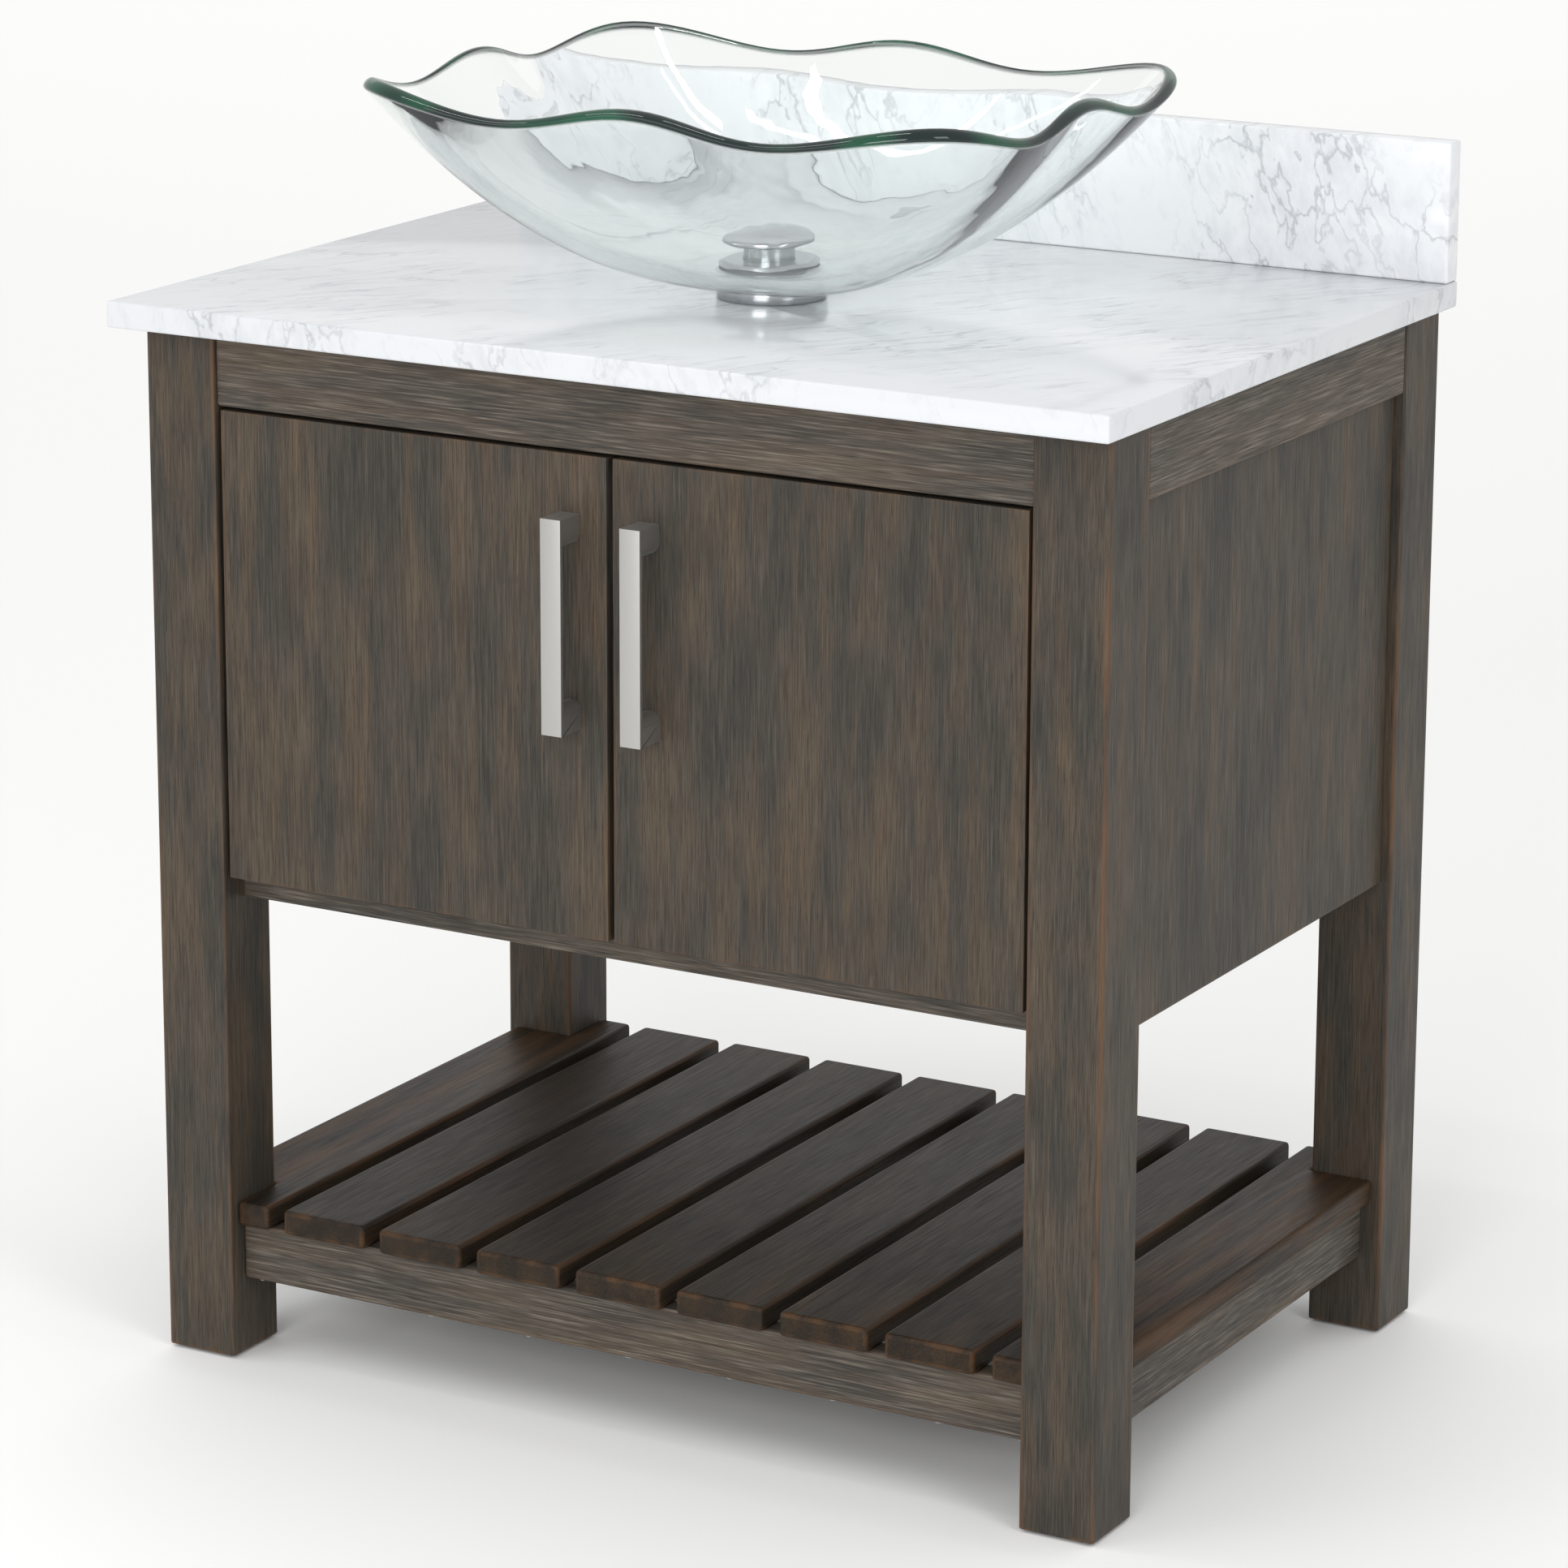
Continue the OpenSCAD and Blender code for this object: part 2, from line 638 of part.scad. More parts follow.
module flange_gasket() color("black") translate([0, drain_y, 0])
    ring(flange_d - 6, drain_hole_d + 1, basin_z, gasket_t);

// The flange, the threaded body and the bridge that guides the cap's stem
module drain_body() color("silver") translate([0, drain_y, 0]) {
    difference() {
        union() {
            translate([0, 0, body_z]) cylinder(d = body_d, h = body_l + 1);
            translate([0, 0, flange_z]) cylinder(d1 = flange_d, d2 = flange_d - 8, h = flange_t);
        }
        translate([0, 0, body_z + socket_l]) cylinder(d = throat_d, h = body_l + flange_t);
        translate([0, 0, body_z - 1]) cylinder(d = tail_end_d + 2 * touch_gap, h = socket_l + 2);
    }
    difference() {
        translate([-throat_d / 2 - 0.5, -bridge_w / 2, bridge_z])
            cube([throat_d + 1, bridge_w, bridge_t]);
        translate([0, 0, bridge_z - 1])
            cylinder(d = stem_d + 2 * touch_gap, h = bridge_t + 2);
    }
}

// The cap is raised; pressed, it comes down on the flange
module drain_cap() color("silver") translate([0, drain_y, 0]) {
    cap_r = cap_d / 2;
    dome_r = (cap_r * cap_r + cap_dome * cap_dome) / (2 * cap_dome);
    difference() {
        union() {
            translate([0, 0, cap_z]) cylinder(d = cap_d, h = cap_t);
            intersection() {
                translate([0, 0, cap_z + cap_t]) cylinder(d = cap_d, h = cap_dome + 1);
                translate([0, 0, cap_z + cap_t + cap_dome - dome_r])
                    sphere(r = dome_r, $fn = 128);
            }
            translate([0, 0, neck_z]) cylinder(d = neck_d, h = neck_l + 1);
        }
        translate([0, 0, neck_z - 1]) cylinder(d = neck_d - 3, h = neck_l);
    }
    translate([0, 0, stem_z]) cylinder(d = stem_d, h = cap_z - stem_z + 0.5);
}

// A coil between the bridge and the cap's underside, swept along a helix
spring_sides = 8;
spring_steps = 20;

module drain_spring() color("gray") translate([0, drain_y, bridge_z + bridge_t + spring_wire / 2]) {
    steps = spring_turns * spring_steps;
    rise = cap_z - 1 - bridge_z - bridge_t - spring_wire;
    points = [for (s = [0 : steps], i = [0 : spring_sides - 1])
        let (t = s * 360 / spring_steps, a = i * 360 / spring_sides,
             r = spring_r + spring_wire / 2 * cos(a))
        [r * cos(t), r * sin(t), rise * s / steps + spring_wire / 2 * sin(a)]];
    faces = concat(
        [for (s = [0 : steps - 1], i = [0 : spring_sides - 1])
            let (a = s * spring_sides + i, b = s * spring_sides + (i + 1) % spring_sides)
            each [[a, a + spring_sides, b], [b, a + spring_sides, b + spring_sides]]],
        [[for (i = [0 : spring_sides - 1]) i]],
        [[for (i = [spring_sides - 1 : -1 : 0]) steps * spring_sides + i]]);
    polyhedron(points, faces);
}

module counter_washer() color("black") translate([0, drain_y, 0])
    ring(drain_hole_d + 17, body_d + 1, slab_z - washer_t, washer_t);

module drain_nut() color("silver") translate([0, drain_y, slab_z - washer_t - nut_h]) difference() {
    cylinder(d = body_d + 18, h = nut_h, $fn = 6);
    translate([0, 0, -1]) cylinder(d = body_d + 2 * touch_gap, h = nut_h + 2);
}

// A tube whose wider upper end screws into the drain body
module tailpiece() color("silver") translate([0, drain_y, 0]) difference() {
    union() {
        translate([0, 0, tail_z]) cylinder(d = tail_d, h = tail_l);
        translate([0, 0, body_z - tail_shoulder])
            cylinder(d = tail_end_d, h = tail_shoulder + tail_in);
    }
    translate([0, 0, tail_z - 1])
        cylinder(d = tail_d - 2 * tail_wall, h = tail_l + tail_in + 2);
}

countertop();
backsplash();
leg(-1, false);  // leg_front_left
leg(1, false);  // leg_front_right
leg(-1, true);  // leg_back_left
leg(1, true);  // leg_back_right
leg_glides();
front_top_rail();
back_top_rail();
side_top_rail(-1);  // side_top_rail_left
side_top_rail(1);  // side_top_rail_right
side_panel(-1);  // side_panel_left
side_panel(1);  // side_panel_right
cabinet_floor();
back_panel();
door_stop();
shelf_rail(false);  // front_shelf_rail
shelf_rail(true);  // back_shelf_rail
side_shelf_rail(-1);  // side_shelf_rail_left
side_shelf_rail(1);  // side_shelf_rail_right
for (i = [1 : slat_count]) {
    shelf_slat(i);
}
shelf_screws();
door(-1);  // door_left
door(1);  // door_right
handle(-1);  // handle_left
handle(1);  // handle_right
handle_screws(-1);  // handle_screws_left
handle_screws(1);  // handle_screws_right
door_bumper(-1);  // door_bumper_left
door_bumper(1);  // door_bumper_right
hinge_cups(-1);  // hinge_cups_left
hinge_cups(1);  // hinge_cups_right
cup_screws(-1);  // cup_screws_left
cup_screws(1);  // cup_screws_right
hinge_arms(-1);  // hinge_arms_left
hinge_arms(1);  // hinge_arms_right
plate_screws(-1);  // plate_screws_left
plate_screws(1);  // plate_screws_right
glass_bowl();
mounting_ring();
ring_gasket();
flange_gasket();
drain_body();
drain_cap();
drain_spring();
counter_washer();
drain_nut();
tailpiece();
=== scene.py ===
"""Vessel sink on a stained oak vanity: the visual model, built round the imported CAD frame."""
import logging
import math
from dataclasses import dataclass
from enum import Enum
from functools import partial
from typing import Any, Callable, Iterable

import bmesh
import bpy
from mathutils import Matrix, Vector


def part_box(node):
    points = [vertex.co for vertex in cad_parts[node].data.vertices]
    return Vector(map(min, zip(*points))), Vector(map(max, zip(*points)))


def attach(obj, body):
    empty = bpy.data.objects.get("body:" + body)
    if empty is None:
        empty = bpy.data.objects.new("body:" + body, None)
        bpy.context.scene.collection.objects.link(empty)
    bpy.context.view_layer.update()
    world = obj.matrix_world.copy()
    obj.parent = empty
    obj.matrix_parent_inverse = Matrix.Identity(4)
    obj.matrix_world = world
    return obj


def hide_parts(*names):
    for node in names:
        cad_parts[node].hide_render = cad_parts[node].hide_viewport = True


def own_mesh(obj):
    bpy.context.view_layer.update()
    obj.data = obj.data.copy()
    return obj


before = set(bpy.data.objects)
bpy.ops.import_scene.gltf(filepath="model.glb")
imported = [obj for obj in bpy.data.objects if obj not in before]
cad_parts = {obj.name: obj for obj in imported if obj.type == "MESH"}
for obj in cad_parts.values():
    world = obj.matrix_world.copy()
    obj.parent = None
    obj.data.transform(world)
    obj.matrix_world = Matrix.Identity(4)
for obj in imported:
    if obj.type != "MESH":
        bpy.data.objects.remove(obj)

LOG = logging.getLogger("vanity")
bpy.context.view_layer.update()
MM = 0.001


class Body(Enum):
    """The CAD bodies that pieces ride on."""

    CABINET = "cabinet"
    LEFT_DOOR = "left_door"
    RIGHT_DOOR = "right_door"
    PLUG = "drain_plug"


class Axis(Enum):
    """A direction of the shared frame."""

    X = 0
    Y = 1
    Z = 2


class Slot(Enum):
    """The record's material slot names for the pieces made here; no piece here is given one."""

    OAK = "stained_wood"
    MARBLE = "marble"
    GLASS = "bowl_glass"
    NICKEL = "satin_nickel"
    ZINC = "zinc_steel"
    CHROME = "chrome_brass"


def linear(colour: str) -> tuple[float, float, float, float]:
    """Turns an sRGB hex colour to linear light.

    Args:
        colour: six hex digits, such as "5d544b".

    Returns:
        Red, green, blue and an alpha of 1.
    """
    parts = [int(colour[i:i + 2], 16) / 255 for i in (0, 2, 4)]
    light = [p / 12.92 if p <= 0.04045 else ((p + 0.055) / 1.055) ** 2.4 for p in parts]
    return (light[0], light[1], light[2], 1.0)


Adder = Callable[..., Any]
COLOUR_MIX = {"output": 2, "data_type": "RGBA"}


def add_node(tree: bpy.types.NodeTree, kind: str, inputs: dict | None = None,
             output: int | str = 0, **settings: Any) -> Any:
    """Adds a node with its settings and links.

    Args:
        tree: the material's node tree.
        kind: the node's type after "ShaderNode", such as "Math".
        inputs: values or output sockets, by input name or number.
        output: the output that is wanted, by name or number.
        settings: the node's own properties.

    Returns:
        The wanted output's socket, or None if the node has no outputs.
    """
    made = tree.nodes.new(f"ShaderNode{kind}")
    for key, value in settings.items():
        setattr(made, key, value)
    for key, value in (inputs or {}).items():
        if isinstance(value, bpy.types.NodeSocket):
            tree.links.new(value, made.inputs[key])
        else:
            made.inputs[key].default_value = value
    return made.outputs[output] if made.outputs else None


@dataclass(frozen=True)
class Finish:
    """A surface as it was made: what it is called and how it shades."""

    def build(self, add: Adder) -> Any:
        """Returns the surface's shader; add puts a node in the material."""
        raise NotImplementedError

    def inside(self, add: Adder) -> Any:
        """Returns what is inside the surface, or None if it is opaque."""
        return None

    def material(self, name: str) -> bpy.types.Material:
        """Makes the material.

        Args:
            name: the material's name.

        Returns:
            The new material.
        """
        made = bpy.data.materials.new(name)
        made.use_nodes = True
        made.node_tree.nodes.clear()
        add = partial(add_node, made.node_tree)
        ends = {"Surface": self.build(add)}
        volume = self.inside(add)
        if volume:
            ends["Volume"] = volume
        add("OutputMaterial", ends)
        return made


@dataclass(frozen=True)
class Figure:
    """One layer of wood figure: its size across and how many times longer it is."""

    across_mm: float
    length: float
    detail: float
    roughness: float = 0.55


@dataclass(frozen=True)
class StainedOak(Finish):
    """Oak veneer and solid oak, wire-brushed along the grain, stained grey-brown, satin lacquer.

    It looks dark and soft, with fine streaks along the grain, cloudy grey and warm patches,
    and edges where the stain has been rubbed through to warm brown. Real pores are finer
    than 0.3 mm; they are drawn coarser so that they show.
    """

    grain: Axis = Axis.Z
    base: str = "3f382f"
    cool: str = "383530"
    warm: str = "45382a"
    streak: str = "564f47"
    pore: str = "181512"
    rubbed: str = "66452a"
    clouds: Figure = Figure(42.0, 2.6, 4.0)
    patches: Figure = Figure(17.0, 8, 4.0)
    streaks: Figure = Figure(2.2, 24, 3.0)
    lines: Figure = Figure(0.9, 44, 3.0, 0.7)
    pores: Figure = Figure(0.7, 22, 1.0)
    stretch: float = 1.0
    warm_amount: float = 0.8
    streak_amount: float = 0.16
    pore_amount: float = 0.5
    rub_amount: float = 0.18
    roughness: float = 0.50
    gleam: float = 0.3
    brush_depth_mm: float = 0.25
    board_shift: tuple[float, float, float] = (3.1, 7.7, 5.3)

    def layer(self, add: Adder, place: Any, figure: Figure) -> Any:
        """Adds noise that is stretched along the grain.

        Args:
            add: puts a node in the material.
            place: the vector to read.
            figure: the layer's size and detail.

        Returns:
            The noise, about 0.5.
        """
        scale = [1 / (figure.across_mm * MM)] * 3
        scale[self.grain.value] = 1 / (figure.across_mm * figure.length * self.stretch * MM)
        turned = add("Mapping", {"Vector": place, "Scale": scale})
        return add("TexNoise", {"Vector": turned, "Scale": 1.0, "Detail": figure.detail,
                                "Roughness": figure.roughness})

    def build(self, add: Adder) -> Any:
        """Returns the stained oak's shader."""
        spot = add("TexCoord", output="Object")
        board = add("Attribute", output="Fac", attribute_name="board")
        wear = add("Attribute", output="Fac", attribute_name="wear")
        shift = add("VectorMath", {0: self.board_shift, "Scale": board}, operation="SCALE")
        place = add("VectorMath", {0: spot, 1: shift}, operation="ADD")
        cloud, patch, streak, line, pore = (
            self.layer(add, place, figure)
            for figure in (self.clouds, self.patches, self.streaks, self.lines, self.pores))

        tone = add("MapRange", {0: cloud, 1: 0.36, 2: 0.64})
        stain = add("Mix", {0: tone, 6: linear(self.cool), 7: linear(self.base)}, **COLOUR_MIX)
        warmth = add("MapRange", {0: patch, 1: 0.44, 2: 0.70, 4: self.warm_amount})
        stain = add("Mix", {0: warmth, 6: stain, 7: linear(self.warm)}, **COLOUR_MIX)
        both = add("Math", {0: cloud, 1: patch}, operation="ADD")
        shade = add("MapRange", {0: both, 1: 0.78, 2: 1.22, 3: 0.78, 4: 1.22})
        stain = add("VectorMath", {0: stain, "Scale": shade}, operation="SCALE")
        pale = add("MapRange", {0: streak, 1: 0.48, 2: 0.72, 4: self.streak_amount * 2})
        stain = add("Mix", {0: pale, 6: stain, 7: linear(self.streak)}, **COLOUR_MIX)
        fine = add("MapRange", {0: line, 1: 0.34, 2: 0.66, 3: 0.60, 4: 1.40})
        stain = add("VectorMath", {0: stain, "Scale": fine}, operation="SCALE")
        dark = add("MapRange", {0: pore, 1: 0.60, 2: 0.72, 4: self.pore_amount})
        stain = add("Mix", {0: dark, 6: stain, 7: linear(self.pore)}, **COLOUR_MIX)
        rub = add("MapRange", {0: patch, 1: 0.38, 2: 0.62})
        rub = add("Math", {0: wear, 1: rub}, operation="MULTIPLY")
        rub = add("Math", {0: rub, 1: self.rub_amount}, operation="MULTIPLY")
        colour = add("Mix", {0: rub, 6: stain, 7: linear(self.rubbed)}, **COLOUR_MIX)

        gloss = add("MapRange", {
            0: line, 1: 0.3, 2: 0.7, 3: self.roughness + 0.12, 4: self.roughness - 0.06})
        relief = add("Math", {0: line, 1: streak}, operation="ADD")
        relief = add("Math", {0: relief, 1: dark}, operation="SUBTRACT")
        bump = add("Bump", {
            "Strength": 0.35, "Distance": self.brush_depth_mm * MM, "Height": relief})
        return add("BsdfPrincipled", {
            "Base Color": colour, "Roughness": gloss, "Normal": bump, "IOR": 1.48,
            "Specular IOR Level": self.gleam})


@dataclass(frozen=True)
class RawBoard(Finish):
    """Birch ply, stained brown and left unpolished: flat and dull, with faint long figure."""

    light: str = "4b3a2c"
    dark: str = "33271f"
    figure_mm: float = 9.0
    figure_length_mm: float = 400.0
    relief_mm: float = 0.3

    def build(self, add: Adder) -> Any:
        """Returns the board's shader."""
        spot = add("TexCoord", output="Object")
        across = 1 / (self.figure_mm * MM)
        turned = add("Mapping", {
            "Vector": spot, "Scale": (1 / (self.figure_length_mm * MM), across, across)})
        figure = add("TexNoise", {"Vector": turned, "Scale": 1.0, "Detail": 5.0})
        colour = add("Mix", {0: figure, 6: linear(self.dark), 7: linear(self.light)},
                     **COLOUR_MIX)
        bump = add("Bump", {
            "Strength": 0.25, "Distance": self.relief_mm * MM, "Height": figure})
        return add("BsdfPrincipled", {"Base Color": colour, "Roughness": 0.72, "Normal": bump})


@dataclass(frozen=True)
class PolishedMarble(Finish):
    """White marble, sawn and polished: bright, with soft grey clouds and thin darker veins."""

    ground: str = "d0d2d5"
    cloud: str = "b9bcc1"
    vein: str = "93979d"
    cloud_amount: float = 0.55
    vein_amount: float = 0.6
    run_degrees: float = 55.0
    tilt: tuple[float, float] = (0.25, 0.15)
    sway_mm: float = 60.0
    sway_reach_mm: float = 22.0
    wisp_mm: tuple[float, float, float] = (44.0, 9.0, 20.0)
    patch_mm: float = 110.0
    vein_mm: tuple[float, float, float] = (120.0, 20.0, 44.0)
    vein_width: float = 0.026
    gloss: tuple[float, float] = (0.08, 0.18)

    def build(self, add: Adder) -> Any:
        """Returns the marble's shader."""
        spot = add("TexCoord", output="Object")
        lean = add("Mapping", {
            "Vector": spot, "Rotation": (*self.tilt, -math.radians(self.run_degrees))})
        sway = add("TexNoise", {"Vector": spot, "Scale": 1 / (self.sway_mm * MM), "Detail": 3.0},
                   output="Color")
        sway = add("VectorMath", {0: sway, "Scale": self.sway_reach_mm * MM}, operation="SCALE")
        place = add("VectorMath", {0: lean, 1: sway}, operation="ADD")
        drawn = add("Mapping", {
            "Vector": place, "Scale": [1 / (size * MM) for size in self.wisp_mm]})
        wisp = add("TexNoise", {
            "Vector": drawn, "Scale": 1.0, "Detail": 5.0, "Roughness": 0.6})
        patch = add("TexNoise", {
            "Vector": place, "Scale": 1 / (self.patch_mm * MM), "Detail": 3.0})
        laid = add("Mapping", {
            "Vector": place, "Scale": [1 / (size * MM) for size in self.vein_mm]})
        strand = add("TexNoise", {
            "Vector": laid, "Scale": 1.0, "Detail": 4.0, "Roughness": 0.5})
        ridge = add("Math", {0: strand, 1: 0.5}, operation="SUBTRACT")
        ridge = add("Math", {0: ridge}, operation="ABSOLUTE")
        vein = add("MapRange", {0: ridge, 1: 0.0, 2: self.vein_width, 3: 1.0, 4: 0.0})
        gate = add("MapRange", {0: patch, 1: 0.42, 2: 0.62, 4: self.vein_amount})
        vein = add("Math", {0: vein, 1: gate}, operation="MULTIPLY")
        both = add("Math", {0: wisp, 1: patch}, operation="ADD")
        haze = add("MapRange", {0: both, 1: 0.96, 2: 1.30, 4: self.cloud_amount})
        colour = add("Mix", {0: haze, 6: linear(self.ground), 7: linear(self.cloud)},
                     **COLOUR_MIX)
        colour = add("Mix", {0: vein, 6: colour, 7: linear(self.vein)}, **COLOUR_MIX)
        gloss = add("MapRange", {0: wisp, 3: self.gloss[0], 4: self.gloss[1]})
        return add("BsdfPrincipled", {"Base Color": colour, "Roughness": gloss, "IOR": 1.5})


@dataclass(frozen=True)
class SlumpedGlass(Finish):
    """Thick soda-lime glass, slumped in a mould, its edge fire-polished.

    Looked through, the wall is nearly clear; along its rim the light runs inside the glass
    and shows its dark green.
    """

    clear: str = "ffffff"
    edge: str = "0b4a33"
    deep: str = "031d1b"
    body: str = "b9e0cf"
    density: float = 6.0
    ripple_mm: float = 26.0
    ripple_depth_mm: float = 0.9
    shade_mm: float = 45.0
    edge_clarity: float = 0.15
    lamp_share: float = 0.95

    def inside(self, add: Adder) -> Any:
        """Returns what the light loses inside the glass."""
        return add("VolumeAbsorption", {"Color": linear(self.body), "Density": self.density})

    def build(self, add: Adder) -> Any:
        """Returns the glass's shader; most of a lamp's light goes straight through it."""
        spot = add("TexCoord", output="Object")
        rim = add("Attribute", output="Fac", attribute_name="rim")
        depth = add("TexNoise", {
            "Vector": spot, "Scale": 1 / (self.shade_mm * MM), "Detail": 0.0})
        depth = add("MapRange", {0: depth, 1: 0.36, 2: 0.56})
        green = add("Mix", {0: depth, 6: linear(self.edge), 7: linear(self.deep)}, **COLOUR_MIX)
        tint = add("Mix", {0: rim, 6: linear(self.clear), 7: green}, **COLOUR_MIX)
        clarity = add("MapRange", {0: rim, 3: 1.0, 4: self.edge_clarity})
        ripple = add("TexNoise", {
            "Vector": spot, "Scale": 1 / (self.ripple_mm * MM), "Detail": 1.0})
        bump = add("Bump", {
            "Strength": 0.12, "Distance": self.ripple_depth_mm * MM, "Height": ripple})
        glass = add("BsdfPrincipled", {
            "Base Color": tint, "Roughness": 0.01, "IOR": 1.5, "Transmission Weight": clarity,
            "Normal": bump})
        lamp = add("LightPath", output="Is Shadow Ray")
        passing = add("Math", {0: lamp, 1: self.lamp_share}, operation="MULTIPLY")
        return add("MixShader", {0: passing, 1: glass, 2: add("BsdfTransparent")})


@dataclass(frozen=True)
class PlatedMetal(Finish):
    """A metal surface with its tone, its gloss and fine marks from how it was worked."""

    tone: str
    roughness: float
    spread: float
    mark_mm: float = 0.6
    run_mm: float = 0.6
    relief: float = 0.05
    mark_depth_mm: float = 0.05

    def build(self, add: Adder) -> Any:
        """Returns the metal's shader."""
        spot = add("TexCoord", output="Object")
        across = 1 / (self.mark_mm * MM)
        turned = add("Mapping", {
            "Vector": spot, "Scale": (across, across, 1 / (self.run_mm * MM))})
        marks = add("TexNoise", {"Vector": turned, "Scale": 1.0, "Detail": 2.0})
        gloss = add("MapRange", {
            0: marks, 3: self.roughness - self.spread / 2, 4: self.roughness + self.spread})
        bump = add("Bump", {"Strength": self.relief, "Distance": self.mark_depth_mm * MM,
                            "Height": marks})
        return add("BsdfPrincipled", {
            "Base Color": linear(self.tone), "Metallic": 1.0, "Roughness": gloss,
            "Normal": bump})


@dataclass(frozen=True)
class Moulded(Finish):
    """Rubber or plastic from a mould: one colour with a fine dull skin."""

    tone: str
    pale: str
    roughness: float
    skin_mm: float = 0.7
    skin_depth_mm: float = 0.05

    def build(self, add: Adder) -> Any:
        """Returns the moulding's shader."""
        spot = add("TexCoord", output="Object")
        skin = add("TexNoise", {
            "Vector": spot, "Scale": 1 / (self.skin_mm * MM), "Detail": 2.0})
        colour = add("Mix", {0: skin, 6: linear(self.tone), 7: linear(self.pale)}, **COLOUR_MIX)
        bump = add("Bump", {
            "Strength": 0.2, "Distance": self.skin_depth_mm * MM, "Height": skin})
        return add("BsdfPrincipled", {
            "Base Color": colour, "Roughness": self.roughness, "Normal": bump})


class Paints:
    """Every material of the vanity, each made once."""

    def __init__(self) -> None:
        """Makes the materials."""
        # Doors and side panels: veneer, brushed up and down
        self.oak = StainedOak().material("stained_oak")
        # Rails: solid oak brushed harder, so more pale streaks show along them
        self.rail = {}
        for axis in (Axis.X, Axis.Y):
            rail = StainedOak(
                grain=axis, streak_amount=0.40, streak="70685e",
                streaks=Figure(1.3, 24, 3.0), base="463f36", cool="413d38", warm="4a3e32",
                stretch=1.4)
            self.rail[axis] = rail.material(f"stained_oak_rail_{axis.name.lower()}")
        # Legs: solid oak whose corners are rubbed warmer by hand
        self.leg = StainedOak(rub_amount=0.5).material("stained_oak_leg")
        # Slats: smoother, with a soft sheen, and painted darker than the other oak as painted
        # shade for their place low under the cabinet
        self.slat = StainedOak(
            grain=Axis.Y, base="2c241b", cool="272019", warm="342616", streak="3a3127",
            streak_amount=0.12, stretch=1.3, rub_amount=0.3, roughness=0.46,
            gleam=0.18).material("stained_oak_slat_painted_shade")
        self.board = RawBoard().material("brown_ply")
        self.marble = PolishedMarble().material("polished_marble")
        # The backsplash's marble is painted lighter than the slab's. This is painted light for
        # its upright face, which gets less light and lies in the bowl's shadow
        self.splash = PolishedMarble(
            ground="dcdee1", cloud="c3c6cb").material("polished_marble_splash_painted_light")
        self.glass = SlumpedGlass().material("slumped_glass")
        # Satin nickel: plated, then brushed lengthwise, so its reflections are soft and pale
        self.nickel = PlatedMetal(
            tone="b5b4b1", roughness=0.46, spread=0.12, mark_mm=0.4, run_mm=25.0,
            relief=0.12).material("satin_nickel")
        # Chromium plate: mirror-bright, with almost no marks
        self.chrome = PlatedMetal(
            tone="a6a9ac", roughness=0.16, spread=0.06).material("chromium_plate")
        # Nickel-plated pressed steel: bright with a faint drawn texture
        self.hinge = PlatedMetal(
            tone="c2bfb8", roughness=0.24, spread=0.10, run_mm=6.0,
            relief=0.1).material("nickel_plated_steel")
        # Zinc-plated steel: bluish grey, slightly milky
        self.zinc = PlatedMetal(
            tone="b4b8be", roughness=0.32, spread=0.15).material("zinc_plated_steel")
        # Turned brass: warm, with fine rings from the lathe
        self.brass = PlatedMetal(
            tone="c9a455", roughness=0.26, spread=0.10, mark_mm=3.0, run_mm=0.5,
            relief=0.15).material("turned_brass")
        # Moulded rubber: near black and dull
        self.rubber = Moulded("1a1a1a", "2a2a2a", 0.6).material("moulded_rubber")
        # Cast polyurethane: milky and a little shiny
        self.bumper = Moulded("c9ccca", "dcdedc", 0.35).material("polyurethane")
        # Moulded nylon: dark brown, half matt
        self.nylon = Moulded("2a2723", "39342f", 0.5).material("moulded_nylon")


